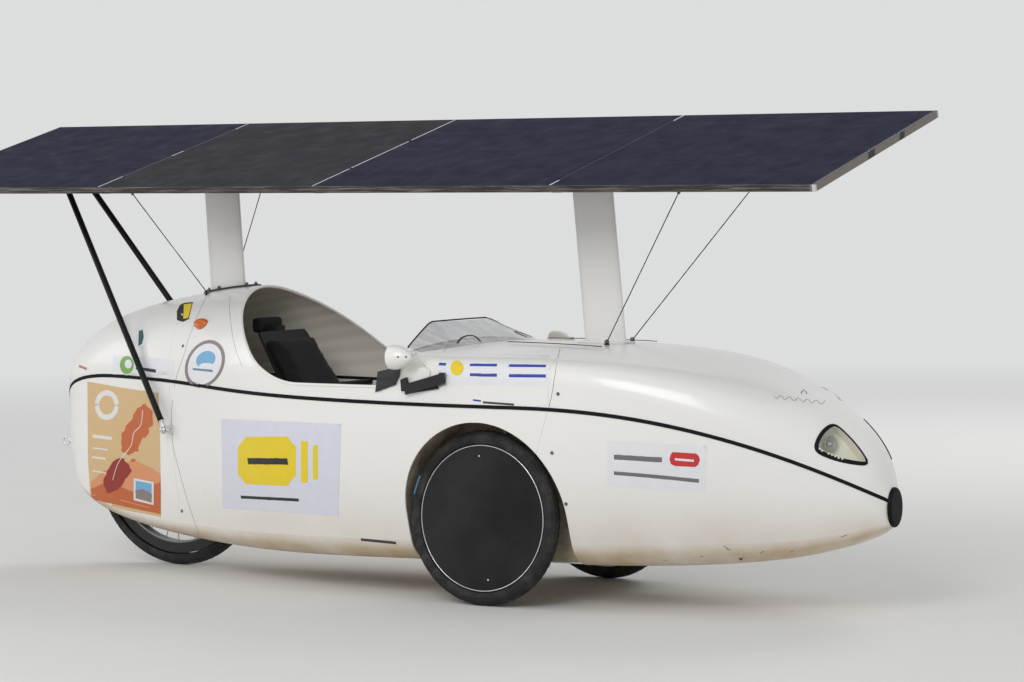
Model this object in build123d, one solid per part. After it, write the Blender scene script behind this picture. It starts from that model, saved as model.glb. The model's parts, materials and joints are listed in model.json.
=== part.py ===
"""Three-wheeled velomobile with a tilting solar roof, in millimetres.

+X points to the nose, +Y to the left and +Z up. The origin lies on the ground below the middle of
the whole vehicle. Every sub-part is written to parts/NODE.step.
"""
from build123d import *
import os
from math import atan2, cos, degrees, radians, sin, sqrt, tan

os.makedirs("parts", exist_ok=True)

# Clearances
SEAT_GAP = 0.3
RUNNING_GAP = 0.05
JOINT_GAP = 0.6
FAR = 3000.0
STEP_IN = 1.0
GROUND_CLEAR = 20.0

# Body shell
WALL = 4.0
SEAM_HALF = 5.5
SEAM_PROUD = 1.5
TAIL_JOINT_X = -711.0
NOSE_JOINT_X = 766.0
NOSE_JOINT_SLOPE = 20.0
NOSE_JOINT_Z = 557.0
# Columns: x, half width, height of the widest line, top, bottom, half width of the flat floor,
# height of the upright part of the side above the widest line
BODY_SECTIONS = [
    (-1266, 22, 500, 600, 335, 6, 10),
    (-1211, 76, 560, 676, 222, 14, 12),
    (-1101, 112, 590, 752, 165, 32, 16),
    (-901, 146, 594, 818, 122, 56, 22),
    (-711, 196, 590, 853, 102, 85, 28),
    (-461, 285, 580, 874, 94, 150, 44),
    (-171, 362, 570, 812, 96, 215, 70),
    (179, 381, 562, 735, 104, 235, 80),
    (539, 378, 559, 722, 112, 235, 80),
    (769, 370, 557, 720, 116, 215, 74),
    (1049, 325, 529, 704, 124, 160, 54),
    (1299, 238, 466, 648, 144, 95, 34),
    (1479, 150, 395, 552, 180, 48, 22),
    (1579, 88, 345, 452, 219, 22, 14),
    (1619, 34, 316, 346, 244, 8, 4),
]
SECTION_STEPS = 2
CROWN_SHARE = 0.65
BILGE_SHARE = 0.5
NOSE_CAP_CENTRE_Z = 295.0
NOSE_CAP_SIZE = (80.0, 108.0)
NOSE_CAP_DEPTH = 10.0
NOSE_CAP_ROUNDING = 7.0
TAIL_CAP_DEPTH = 3.0

# Cockpit opening in the middle shell
COCKPIT_RIM_Z = 606.0
COCKPIT_REAR_X = -215.0
COCKPIT_REAR_SLOPE = 45.0
COCKPIT_REAR_FILLET = 300.0
COCKPIT_TOP_Z = 900.0
COCKPIT_FRONT_X = 275.0
COCKPIT_FRONT_FILLET = 60.0
COCKPIT_SIDE_X = 262.0
COCKPIT_HALF_WIDTH = 450.0

# Front wheels
FRONT_AXLE_X = 520.0
FRONT_TRACK = 642.0
FRONT_CAMBER = 2.4
FRONT_TYRE_RADIUS = 244.5
FRONT_TYRE_SECTION = 22.5
FRONT_RIM_RADIUS = 213.0
FRONT_RIM_DEPTH = 20.0
FRONT_RIM_WIDTH = 27.0
FRONT_SPOKES = 20
DISC_RADIUS = 205.0
DISC_DISH = 14.0
DISC_FLAT_RADIUS = 30.0
DISC_THICKNESS = 1.5
HUB_RADIUS = 20.0
HUB_INBOARD = 40.0
HUB_OUTBOARD = 14.0
FLANGE_RADIUS = 32.0
FLANGE_THICKNESS = 4.0
STUB_RADIUS = 8.5
STUB_SHOULDER_RADIUS = 14.0
AXLE_NUT_RADIUS = 12.0
AXLE_NUT_LENGTH = 6.0
SPOKE_RADIUS = 1.2

# Steering knuckles and struts
KINGPIN_OFFSET = 88.0
KINGPIN_INCLINATION = 5.0
KINGPIN_RADIUS = 14.0
KINGPIN_DOWN = 80.0
KINGPIN_FOOT_RADIUS = 8.0
KINGPIN_FOOT_LENGTH = 20.0
KINGPIN_SOCKET = 50.0
KINGPIN_UP = 70.0
STRUT_ROD_RADIUS = 7.0
STRUT_MOUNT_RADIUS = 24.0
STRUT_MOUNT_LENGTH = 30.0
STEERING_ARM_LENGTH = 80.0
STEERING_ARM_DROP = 62.0
STEERING_ARM_WIDTH = 16.0
STEERING_ARM_END = 10.0
STEERING_ARM_THICKNESS = 8.0
TIE_PIN_RADIUS = 4.0
TIE_PIN_LENGTH = 18.0
EYE_BORE_RADIUS = 5.4
EYE_BORE_OFFSET = 1.1
EYE_RADIUS = 13.0
EYE_THICKNESS = 8.0
EYE_LIFT = 4.0
TRACK_ROD_RADIUS = 6.0
TRACK_ROD_HOLE_GAP = 5.0
LOWER_ARM_THICKNESS = 10.0
LOWER_ARM_GAP = 3.0
LOWER_ARM_ROOT = 110.0
LOWER_ARM_TIP = 34.0
LOWER_ARM_REACH = 60.0
AXLE_BEAM_RADIUS = 16.0
AXLE_BEAM_Z = 150.0

# Front wheel arches and wells
ARCH_REAR_X = 269.0
ARCH_FRONT_X = 794.0
ARCH_TOP_Z = 515.0
WELL_REAR_X = 255.5
WELL_FRONT_X = 797.5
WELL_TOP_Z = 533.0
WELL_INNER_Y = 200.0
WELL_WALL = 3.0

# Rear wheel, fork and well
REAR_AXLE_X = -844.0
REAR_TYRE_RADIUS = 333.0
REAR_TYRE_SECTION = 23.5
REAR_RIM_RADIUS = 296.0
REAR_RIM_DEPTH = 38.0
REAR_RIM_WIDTH = 28.0
REAR_HUB_RADIUS = 26.0
REAR_HUB_LENGTH = 118.0
REAR_FLANGE_RADIUS = 40.0
REAR_FLANGE_SPREAD = 84.0
REAR_SPOKES = 28
REAR_AXLE_RADIUS = 6.0
FORK_BLADE_THICKNESS = 8.0
FORK_BLADE_HEIGHT = 42.0
FORK_BLADE_INNER_Y = 62.0
FORK_PIVOT_X = -430.0
FORK_PIVOT_Z = 250.0
FORK_PIVOT_RADIUS = 18.0
FORK_PIN_RADIUS = 8.0
FORK_BRIDGE_RADIUS = 10.0
FORK_BRIDGE_X = -462.0
FORK_BLADE_GAP = 6.0
FORK_BRACKET_THICKNESS = 8.0
FORK_BRACKET_LENGTH = 70.0
REAR_WELL_RADIUS = 366.0
REAR_WELL_HALF_WIDTH = 88.0
REAR_WELL_WALL = 3.0
REAR_SLOT_HALF_WIDTH = 50.0
REAR_SLOT_RADIUS = 362.0

# Solar roof
ROOF_TILT = 15.24
ROOF_PITCH = 0.55
ROOF_CENTRE_X = -21.0
ROOF_CENTRE_Z = 1264.3
PANEL_LENGTH = 802.0
PANEL_WIDTH = 760.0
PANEL_THICKNESS = 19.0
PANEL_COUNT = 4
PANEL_GAP = 1.0
EDGE_THICKNESS = 2.5
BEAM_RADIUS = 15.0
BEAM_LENGTH = 2620.0
BEAM_DROP = 27.0
COLLAR_LENGTH = 52.0
COLLAR_WALL = 5.0
CROSSBAR_LENGTH = 700.0
CROSSBAR_WIDTH = 30.0
CROSSBAR_HEIGHT = 10.0

# Masts and rear struts
MAST_CHORD = 133.0
MAST_THICKNESS = 36.0
MAST_TOP_GAP = 1.0
MAST_SADDLE_DROP = 4.0
MAST_SADDLE_LENGTH = 70.0
MAST_SADDLE_DEPTH = 12.0
MAST_FOOT_WIDTH = 64.0
MAST_FOOT_THICKNESS = 5.0
MAST_FOOT_REACH = 60.0
MAST_LOW = -40.0
MAST_HIGH = 660.0
# Columns: name, x at the deck, height of the deck, lean to the rear in degrees,
# rear and front end of the foot plate
MASTS = [
    ("front_mast", 727.0, 716.0, 5.0, 650.0, 804.0),
    ("rear_mast", -631.0, 864.0, 3.6, -703.0, -528.0),
]
STRUT_RADIUS = 9.5
STRUT_TOP = (-1256.0, 50.0, 1220.0)
STRUT_FOOT = (-714.0, 218.0, 442.0)
STRUT_CLAMP_LENGTH = 26.0
STRUT_CLAMP_HALF_WIDTH = 58.0
STRUT_CLAMP_Z = (1206.0, 1226.0)
STRUT_BRACKET_SIZE = 34.0
STRUT_BRACKET_ROOT = 60.0

# Cords that hold the roof's tilt, from eyes under its long edges to posts on the body
CORD_RADIUS = 1.5
CORD_EDGE_INSET = 9.0
# Columns: x on the roof, x on the body, distance of the post from the middle
CORDS = [
    (1177.0, 772.0, 70.0),
    (-700.0, -668.0, 60.0),
]
EYE_POST_RADIUS = 6.0
EYE_POST_HEIGHT = 8.0
DECK_POST_RADIUS = 7.0
DECK_POST_HEIGHT = 14.0
BODY_INSIDE_Z = 500.0

# Seat
SEAT_HALF_WIDTH = 150.0
SEAT_TOP_HALF_WIDTH = 110.0
SEAT_NARROWING = 400.0
SEAT_THICKNESS = 8.0
SEAT_FRONT = (250.0, 205.0)
SEAT_HIP = (-40.0, 135.0)
SEAT_TOP = (-432.0, 735.0)
SEAT_HIP_FILLET = 150.0
SEAT_CORNER_FILLET = 70.0
SEAT_TOP_MARGIN = 40.0
SEAT_PRISM_DEPTHS = (-300.0, 600.0)
PAD_THICKNESS = 24.0
PAD_MARGIN = 12.0
SEAT_FOOT_WIDTH = 40.0
SEAT_FOOT_LENGTH = 60.0
SEAT_FOOT_Y = 100.0
SEAT_FOOT_LOW = 50.0
SEAT_FOOT_HIGH = 450.0
SEAT_FEET_X = (180.0, -90.0)
SEAT_BRACE_RADIUS = 10.0
SEAT_BRACE_REACH = 520.0
HEADREST_SIZE = (30.0, 124.0, 46.0)
HEADREST_CENTRE = (-483.0, 0.0, 756.0)
HEADREST_ROUNDING = 10.0
HEADREST_ARM_HALF_WIDTH = 20.0
HEADREST_ARM_Z = (726.0, 754.0)

# Mirrors
MIRROR_CENTRE = (317.0, 421.0, 694.0)
MIRROR_LENGTH = 68.0
MIRROR_RADIUS = 35.0
MIRROR_RIM = 3.0
MIRROR_TIP_RADIUS = 8.0
# Place of the pod's fullest curve, as shares of its radius and length
MIRROR_CURVE = (0.8, 0.62)
MIRROR_GLASS_THICKNESS = 2.0
STALK_RADIUS = 4.0
STALK_POINTS = [(352.0, 366.0, 655.0), (362.0, 420.0, 712.0), (325.0, 421.0, 700.0)]

# Headlights: three corners of the right window, mirrored for the left one, and how far the edge from
# each corner to the next bows outward
LAMP_CORNERS = [(1490.0, -85.0, 520.0), (1580.0, -67.0, 414.0), (1465.0, -153.0, 455.0)]
LAMP_BOWS = (5.0, 11.0, 12.0)
LAMP_ROUNDING = 8.0
LAMP_REACH = 60.0
LAMP_DEPTH = 40.0
BOWL_WALL = 3.0

# Indicators
INDICATOR_X = -576.0
INDICATOR_Z = 764.0
INDICATOR_LENGTH = 52.0
INDICATOR_HEIGHT = 34.0
INDICATOR_PROUD = 14.0
INDICATOR_ROUNDING = 8.0
INDICATOR_ROOT = 20.0

# Tow eye
TOW_EYE_X = -1306.0
TOW_EYE_Z = 372.0
TOW_EYE_RADIUS = 16.0
TOW_HOLE_RADIUS = 9.0
TOW_EYE_THICKNESS = 5.0

# Windscreen: a strip of a cone that stands on the deck ahead of the cockpit
SCREEN_FRONT_X = 430.0
SCREEN_SIDE = (274.0, 310.0)
SCREEN_BASE_Z = 712.0
SCREEN_TOP_Z = 780.0
SCREEN_FOOT_Z = 670.0
SCREEN_THICKNESS = 5.0
SCREEN_LEAN = 66.0
SCREEN_REAR_X = 262.0
SCREEN_REAR_LEAN = 28.0


def save(name, shape):
    """Write one sub-part."""
    solids = shape.solids()
    whole = solids[0] if len(solids) == 1 else Compound(solids)
    whole.label = name
    export_step(whole, f"parts/{name}.step")


def gathered(shapes):
    """All solids of several shapes as one."""
    return Compound([solid for shape in shapes for solid in shape.solids()])


def spline_bends(knots, values):
    """Second derivatives of the natural cubic spline through the values."""
    count = len(knots)
    gaps = [knots[i + 1] - knots[i] for i in range(count - 1)]
    slopes = [(values[i + 1] - values[i]) / gaps[i] for i in range(count - 1)]
    upper = [0.0] * count
    bends = [0.0] * count
    for i in range(1, count - 1):
        pivot = 2.0 * (gaps[i - 1] + gaps[i]) - gaps[i - 1] * upper[i - 1]
        upper[i] = gaps[i] / pivot
        bends[i] = (6.0 * (slopes[i] - slopes[i - 1]) - gaps[i - 1] * bends[i - 1]) / pivot
    for i in range(count - 2, 0, -1):
        bends[i] -= upper[i] * bends[i + 1]
    return bends


def spline_value(knots, values, bends, index, share):
    """Value of the spline at a share of the way from one knot to the next."""
    gap = knots[index + 1] - knots[index]
    rest = 1.0 - share
    line = values[index] * rest + values[index + 1] * share
    bow = bends[index] * (rest ** 3 - rest) + bends[index + 1] * (share ** 3 - share)
    return line + bow * gap * gap / 6.0


def smooth_rows(rows, steps):
    """The rows of a table with further rows between them, on smooth curves through every column."""
    knots = [0.0]
    for row, following in zip(rows, rows[1:]):
        knots.append(knots[-1] + sqrt(sum((b - a) ** 2 for a, b in zip(row, following))))
    columns = list(zip(*rows))
    bends = [spline_bends(knots, column) for column in columns]
    dense = []
    for index in range(len(rows) - 1):
        for step in range(steps):
            share = step / steps
            dense.append(tuple(
                spline_value(knots, column, bend, index, share) for column, bend in zip(columns, bends)
            ))
    return dense + [rows[-1]]


def arc_between(x, centre, radius, start, end):
    """Arc in the plane at x through start and end, on the side that faces away from its centre."""
    middle = ((start[0] + end[0]) / 2 - centre[0], (start[1] + end[1]) / 2 - centre[1])
    reach = radius / sqrt(middle[0] ** 2 + middle[1] ** 2)
    top = (centre[0] + middle[0] * reach, centre[1] + middle[1] * reach)
    return Edge.make_three_point_arc((x, *start), (x, *top), (x, *end))


def quarter(half_width, height, share):
    """Two arcs that run from (half_width, 0) straight up and end level at (0, height).

    The first arc turns by an angle that lies at the given share of the range in which both radii are
    positive. Returns the radius and centre of each arc and the point where they meet.
    """
    lean = 2 * atan2(half_width, height)
    low_turn = max(0.0, lean - radians(90))
    high_turn = min(radians(90), lean)
    turn = low_turn + share * (high_turn - low_turn)
    scale = cos(turn) + sin(turn) - 1
    side_radius = (height * cos(turn) - half_width * (1 - sin(turn))) / scale
    end_radius = (half_width * sin(turn) - height * (1 - cos(turn))) / scale
    side_centre = (half_width - side_radius, 0.0)
    end_centre = (0.0, height - end_radius)
    meeting = (side_centre[0] + side_radius * cos(turn), side_radius * sin(turn))
    return side_radius, side_centre, end_radius, end_centre, meeting


def section_points(row, inset):
    """Named points of one half of a cross-section, inset by a wall, as (y, z) on the left side."""
    x, half_width, wide_z, top_z, bottom_z, floor, upright = row
    rise_z = wide_z + upright
    up_radius, up_side, crown, up_end, up_meet = quarter(half_width, top_z - rise_z, CROWN_SHARE)
    low_height = wide_z - bottom_z
    low_radius, low_side, bilge, low_end, low_meet = quarter(half_width - floor, low_height, BILGE_SHARE)

    def inward(point, centre, radius):
        share = (radius - inset) / radius
        return centre[0] + (point[0] - centre[0]) * share, centre[1] + (point[1] - centre[1]) * share

    up_meet = inward(up_meet, up_end, crown)
    low_meet = inward(low_meet, low_end, bilge)
    low_edge_y = low_side[0] + sqrt((low_radius - inset) ** 2 - SEAM_HALF ** 2)
    return {
        "top": (0.0, top_z - inset),
        "up_meet": (up_meet[0], rise_z + up_meet[1]),
        "up_side": (up_side[0], rise_z),
        "up_radius": up_radius - inset,
        "up_rise": (half_width - inset, rise_z),
        "up_edge": (half_width - inset, wide_z + SEAM_HALF),
        "wide": (half_width - inset, wide_z),
        "low_edge": (floor + low_edge_y, wide_z - SEAM_HALF),
        "low_side": (floor + low_side[0], wide_z),
        "low_radius": low_radius - inset,
        "low_meet": (floor + low_meet[0], wide_z - low_meet[1]),
        "low_end": (floor, wide_z - low_end[1]),
        "bilge": bilge - inset,
        "floor": (floor, bottom_z + inset),
    }


def mirrored(point, side):
    return side * point[0], point[1]


def side_arc(x, points, kind, start, end, side):
    """Arc of one side of the section between two of its named points."""
    centre, radius = {"up": ("up_side", "up_radius"), "low": ("low_side", "low_radius"),
                      "bilge": ("low_end", "bilge")}[kind]
    return arc_between(x, mirrored(points[centre], side), points[radius],
                       mirrored(points[start], side), mirrored(points[end], side))


def line_at(x, start, end):
    return Edge.make_line((x, *start), (x, *end))


def crown_arc(x, points, side):
    """Arc over the top of the section, starting on the given side."""
    start = mirrored(points["up_meet"], side)
    end = mirrored(points["up_meet"], -side)
    return Edge.make_three_point_arc((x, *start), (x, *points["top"]), (x, *end))


def upper_wire(row):
    """Cross-section of the upper half shell, one wall thick."""
    x = row[0]
    out = section_points(row, 0.0)
    inn = section_points(row, WALL)
    edges = [
        line_at(x, out["up_edge"], out["up_rise"]),
        side_arc(x, out, "up", "up_rise", "up_meet", 1),
        crown_arc(x, out, 1),
        side_arc(x, out, "up", "up_meet", "up_rise", -1),
        line_at(x, mirrored(out["up_rise"], -1), mirrored(out["up_edge"], -1)),
        line_at(x, mirrored(out["up_edge"], -1), mirrored(inn["up_edge"], -1)),
        line_at(x, mirrored(inn["up_edge"], -1), mirrored(inn["up_rise"], -1)),
        side_arc(x, inn, "up", "up_rise", "up_meet", -1),
        crown_arc(x, inn, -1),
        side_arc(x, inn, "up", "up_meet", "up_rise", 1),
        line_at(x, inn["up_rise"], inn["up_edge"]),
        line_at(x, inn["up_edge"], out["up_edge"]),
    ]
    return Wire(edges)


def lower_wire(row):
    """Cross-section of the lower half shell, one wall thick."""
    x = row[0]
    out = section_points(row, 0.0)
    inn = section_points(row, WALL)
    edges = [
        side_arc(x, out, "low", "low_edge", "low_meet", 1),
        side_arc(x, out, "bilge", "low_meet", "floor", 1),
        line_at(x, out["floor"], mirrored(out["floor"], -1)),
        side_arc(x, out, "bilge", "floor", "low_meet", -1),
        side_arc(x, out, "low", "low_meet", "low_edge", -1),
        line_at(x, mirrored(out["low_edge"], -1), mirrored(inn["low_edge"], -1)),
        side_arc(x, inn, "low", "low_edge", "low_meet", -1),
        side_arc(x, inn, "bilge", "low_meet", "floor", -1),
        line_at(x, mirrored(inn["floor"], -1), inn["floor"]),
        side_arc(x, inn, "bilge", "floor", "low_meet", 1),
        side_arc(x, inn, "low", "low_meet", "low_edge", 1),
        line_at(x, inn["low_edge"], out["low_edge"]),
    ]
    return Wire(edges)


def body_wire(row, inset):
    """Whole cross-section of the body, inset by a wall (a negative inset stands proud)."""
    x = row[0]
    points = section_points(row, inset)
    edges = [
        side_arc(x, points, "low", "wide", "low_meet", 1),
        side_arc(x, points, "bilge", "low_meet", "floor", 1),
        line_at(x, points["floor"], mirrored(points["floor"], -1)),
        side_arc(x, points, "bilge", "floor", "low_meet", -1),
        side_arc(x, points, "low", "low_meet", "wide", -1),
        line_at(x, mirrored(points["wide"], -1), mirrored(points["up_rise"], -1)),
        side_arc(x, points, "up", "up_rise", "up_meet", -1),
        crown_arc(x, points, -1),
        side_arc(x, points, "up", "up_meet", "up_rise", 1),
        line_at(x, points["up_rise"], points["wide"]),
    ]
    return Wire(edges)


body_rows = smooth_rows(BODY_SECTIONS, SECTION_STEPS)


def body_solid(inset):
    """The whole body as one smooth solid, used to fit pieces against the shell."""
    return Solid.make_loft([body_wire(row, inset) for row in body_rows])


def slab(low, high):
    """Box between two corners."""
    size = [b - a for a, b in zip(low, high)]
    middle = [(a + b) / 2 for a, b in zip(low, high)]
    return Pos(*middle) * Box(*size)


def across(profile_xz, low_y, high_y):
    """Solid of a profile drawn in x and z, from low_y to high_y."""
    return Pos(0, high_y, 0) * extrude(Plane.XZ * profile_xz, high_y - low_y)


def rod(start, end, radius):
    """Round bar between two points."""
    direction = Vector(*end) - Vector(*start)
    place = Plane(origin=start, z_dir=direction)
    return place * (Pos(0, 0, direction.length / 2) * Cylinder(radius, direction.length))


def turned(points):
    """Ring turned about the local z axis from a closed outline of radius and z."""
    outline = make_face(Polyline([(radius, 0, z) for radius, z in points], close=True))
    return revolve(outline, Axis.Z, 360)


def drum(radius, low, high):
    """Round bar along the local z axis."""
    return Pos(0, 0, (low + high) / 2) * Cylinder(radius, high - low)


def on_side(point, side):
    return point[0], side * point[1], point[2]


SIDES = {"left": 1, "right": -1}


def arch_profile(rear_x, front_x, top_z, foot_z, shrink):
    """Round-topped doorway shape in x and z, shrunk evenly."""
    radius = (front_x - rear_x) / 2 - shrink
    centre_x = (front_x + rear_x) / 2
    centre_z = top_z - shrink - radius
    legs = Pos(centre_x, (centre_z + foot_z) / 2) * Rectangle(2 * radius, centre_z - foot_z)
    return legs + Pos(centre_x, centre_z) * Circle(radius)


# Shell solids before they are cut
upper_shell = Solid.make_loft([upper_wire(row) for row in body_rows])
lower_shell = Solid.make_loft([lower_wire(row) for row in body_rows])
inside_fit = body_solid(WALL + SEAT_GAP)
outside_fit = body_solid(-SEAT_GAP)

# Cuts in the shell
rim_run = (COCKPIT_TOP_Z - COCKPIT_RIM_Z) / tan(radians(COCKPIT_REAR_SLOPE))
rim_line = Polyline(
    (COCKPIT_REAR_X - rim_run, COCKPIT_TOP_Z),
    (COCKPIT_REAR_X, COCKPIT_RIM_Z),
    (COCKPIT_FRONT_X, COCKPIT_RIM_Z),
    (COCKPIT_FRONT_X, COCKPIT_TOP_Z),
    close=True,
)
rim_face = make_face(rim_line)
for corner_x, rounding in ((COCKPIT_REAR_X, COCKPIT_REAR_FILLET), (COCKPIT_FRONT_X, COCKPIT_FRONT_FILLET)):
    rim_corner = rim_face.vertices().sort_by_distance((corner_x, COCKPIT_RIM_Z, 0))[0]
    rim_face = fillet(rim_corner, rounding)
deck_edge = ThreePointArc(
    (COCKPIT_SIDE_X, -COCKPIT_HALF_WIDTH), (COCKPIT_FRONT_X, 0), (COCKPIT_SIDE_X, COCKPIT_HALF_WIDTH)
)
deck_back = Polyline(
    (COCKPIT_SIDE_X, COCKPIT_HALF_WIDTH),
    (TAIL_JOINT_X, COCKPIT_HALF_WIDTH),
    (TAIL_JOINT_X, -COCKPIT_HALF_WIDTH),
    (COCKPIT_SIDE_X, -COCKPIT_HALF_WIDTH),
)
deck_face = make_face(Curve() + [deck_edge, deck_back])
cockpit_cut = across(rim_face, -FAR / 4, FAR / 4) & extrude(deck_face, COCKPIT_TOP_Z)

arch_face = arch_profile(ARCH_REAR_X, ARCH_FRONT_X, ARCH_TOP_Z, -GROUND_CLEAR, 0.0)
arch_cuts = [
    across(arch_face, WELL_INNER_Y + WELL_WALL, FAR / 4),
    across(arch_face, -FAR / 4, -WELL_INNER_Y - WELL_WALL),
]
slot_drum = Cylinder(REAR_SLOT_RADIUS, 2 * REAR_SLOT_HALF_WIDTH)
rear_slot = Pos(REAR_AXLE_X, 0, REAR_TYRE_RADIUS) * Rot(90, 0, 0) * slot_drum


def lamp_prism(side, growth, low, high):
    """Bar with the headlight window's bowed triangle, grown sideways, between two depths."""
    corners = [Vector(*on_side(corner, -side)) for corner in LAMP_CORNERS]
    middle = (corners[0] + corners[1] + corners[2]) / 3
    normal = (corners[1] - corners[0]).cross(corners[2] - corners[0])
    if normal.X < 0:
        normal = -normal
    place = Plane(origin=middle, x_dir=corners[1] - corners[0], z_dir=normal)
    flat = [place.to_local_coords(corner) for corner in corners]
    edges = []
    for start, end, bow in zip(flat, flat[1:] + flat[:1], LAMP_BOWS):
        halfway = (start + end) / 2
        outward = (end - start).normalized().cross(Vector(0, 0, 1))
        if outward.dot(halfway) < 0:
            outward = -outward
        edges.append(ThreePointArc(start, halfway + outward * bow, end))
    outline = make_face(Curve() + edges)
    outline = fillet(outline.vertices(), LAMP_ROUNDING)
    if growth:
        outline = offset(outline, growth)
    return place * (Pos(0, 0, low) * extrude(outline, high - low))


lamp_cuts = {name: lamp_prism(side, 0.0, -LAMP_REACH, LAMP_REACH) for name, side in SIDES.items()}

# Shell panels
rear_zone = slab((-FAR, -FAR, -FAR), (TAIL_JOINT_X - JOINT_GAP / 2, FAR, FAR))
upper_front_zone = slab((NOSE_JOINT_X + JOINT_GAP / 2, -FAR, -FAR), (FAR, FAR, FAR))
upper_middle_zone = slab(
    (TAIL_JOINT_X + JOINT_GAP / 2, -FAR, -FAR), (NOSE_JOINT_X - JOINT_GAP / 2, FAR, FAR)
)
joint_place = Pos(NOSE_JOINT_X, 0, NOSE_JOINT_Z) * Rot(0, NOSE_JOINT_SLOPE, 0)
lower_front_zone = joint_place * slab((JOINT_GAP / 2, -FAR, -FAR), (FAR, FAR, FAR))
lower_back_zone = joint_place * slab((-FAR, -FAR, -FAR), (-JOINT_GAP / 2, FAR, FAR))
lower_middle_zone = slab((TAIL_JOINT_X + JOINT_GAP / 2, -FAR, -FAR), (FAR, FAR, FAR))

nose_upper = upper_shell & upper_front_zone
save("nose_upper", nose_upper - lamp_cuts["left"] - lamp_cuts["right"])
save("middle_upper", (upper_shell & upper_middle_zone) - cockpit_cut)
save("tail_upper", upper_shell & rear_zone)
save("nose_lower", (lower_shell & lower_front_zone) - arch_cuts[0] - arch_cuts[1])
middle_lower = (lower_shell & lower_middle_zone & lower_back_zone) - arch_cuts[0] - arch_cuts[1]
save("middle_lower", middle_lower - rear_slot)
save("tail_lower", (lower_shell & rear_zone) - rear_slot)


def seam_wire(row, side):
    """Section of the strip that covers the seam between the upper and lower shell."""
    half_height = SEAM_HALF - 2 * SEAT_GAP
    inner_y = side * (row[1] - WALL)
    outer_y = side * (row[1] + SEAM_PROUD)
    corners = [(inner_y, row[2] - half_height), (outer_y, row[2] - half_height),
               (outer_y, row[2] + half_height), (inner_y, row[2] + half_height)]
    return Wire([line_at(row[0], corners[i], corners[(i + 1) % 4]) for i in range(4)])


seam_rows = {1: body_rows, -1: list(reversed(body_rows))}
seam_sides = [Solid.make_loft([seam_wire(row, side) for row in rows]) for side, rows in seam_rows.items()]
save("seam_strip", Compound(seam_sides))

cap_origin = (BODY_SECTIONS[-1][0] + SEAT_GAP, 0, NOSE_CAP_CENTRE_Z)
cap_place = Plane(origin=cap_origin, x_dir=(0, 1, 0), z_dir=(1, 0, 0))
cap_outline = Ellipse(NOSE_CAP_SIZE[0] / 2, NOSE_CAP_SIZE[1] / 2)
nose_cap = cap_place * extrude(cap_outline, NOSE_CAP_DEPTH - SEAT_GAP)
front_face = nose_cap.faces().sort_by(Axis.X)[-1]
save("nose_cap", fillet(front_face.edges(), NOSE_CAP_ROUNDING))
tail_row = BODY_SECTIONS[0]
tail_face = Face(body_wire(tail_row, 0.0))
tail_cap = Pos(-SEAT_GAP, 0, 0) * extrude(tail_face, TAIL_CAP_DEPTH, dir=(-1, 0, 0))
save("tail_cap", tail_cap)

# Headlights
lenses = []
bowls = []
for side in SIDES.values():
    lenses.append(nose_upper & lamp_prism(side, -SEAT_GAP, -LAMP_REACH, LAMP_REACH))
    bowl_outside = lamp_prism(side, BOWL_WALL, -LAMP_DEPTH, LAMP_REACH)
    bowl_inside = lamp_prism(side, 0.0, BOWL_WALL - LAMP_DEPTH, LAMP_REACH)
    bowls.append((bowl_outside - bowl_inside) & inside_fit)
save("headlight_lenses", gathered(lenses))
save("headlamp_bowls", gathered(bowls))


def spoked_wheel(rim_radius, rim_depth, rim_width, hub, flange_radius, flange_z, spokes):
    """Rim, spokes and hub in one piece about the local z axis."""
    rim = Cylinder(rim_radius, rim_width) - Cylinder(rim_radius - rim_depth, rim_width)
    bars = []
    for number in range(spokes):
        start = (flange_radius - 2 * STEP_IN, 0.0, flange_z[number % 2])
        end = (rim_radius - rim_depth / 2, 0.0, 0.0)
        bars.append(Rot(0, 0, 360.0 * number / spokes) * rod(start, end, SPOKE_RADIUS))
    flanges = [drum(flange_radius, z - FLANGE_THICKNESS / 2, z + FLANGE_THICKNESS / 2) for z in flange_z]
    return hub + flanges + bars + rim


# Front wheels with their knuckles
camber = radians(FRONT_CAMBER)
inclination = radians(KINGPIN_INCLINATION)
front_ring_radius = FRONT_TYRE_RADIUS - FRONT_TYRE_SECTION
front_axle_z = front_ring_radius * cos(camber) + FRONT_TYRE_SECTION
disc_low = FRONT_RIM_WIDTH / 2 + SEAT_GAP
disc_outline = [
    (DISC_RADIUS, disc_low),
    (DISC_RADIUS, disc_low + DISC_THICKNESS),
    (DISC_FLAT_RADIUS, disc_low + DISC_DISH + DISC_THICKNESS),
    (0.0, disc_low + DISC_DISH + DISC_THICKNESS),
    (0.0, disc_low + DISC_DISH),
    (DISC_FLAT_RADIUS, disc_low + DISC_DISH),
]
front_flange_z = (FRONT_RIM_WIDTH / 2 - FLANGE_THICKNESS, -HUB_INBOARD + 3 * FLANGE_THICKNESS)
nut_low = HUB_OUTBOARD + SEAT_GAP
arm_low = -STEERING_ARM_DROP - STEERING_ARM_THICKNESS / 2
arm_high = -STEERING_ARM_DROP + STEERING_ARM_THICKNESS / 2
eye_middle = arm_high + EYE_LIFT + EYE_THICKNESS / 2
lower_arm_high = -KINGPIN_DOWN - LOWER_ARM_GAP
lower_arm_low = lower_arm_high - LOWER_ARM_THICKNESS
well_space_face = arch_profile(WELL_REAR_X, WELL_FRONT_X, WELL_TOP_Z, -GROUND_CLEAR, WELL_WALL + SEAT_GAP)
front_tyre_bore = Cylinder(FRONT_RIM_RADIUS + SEAT_GAP, FRONT_TYRE_RADIUS)
front_tyre = Torus(front_ring_radius, FRONT_TYRE_SECTION) - front_tyre_bore


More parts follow.
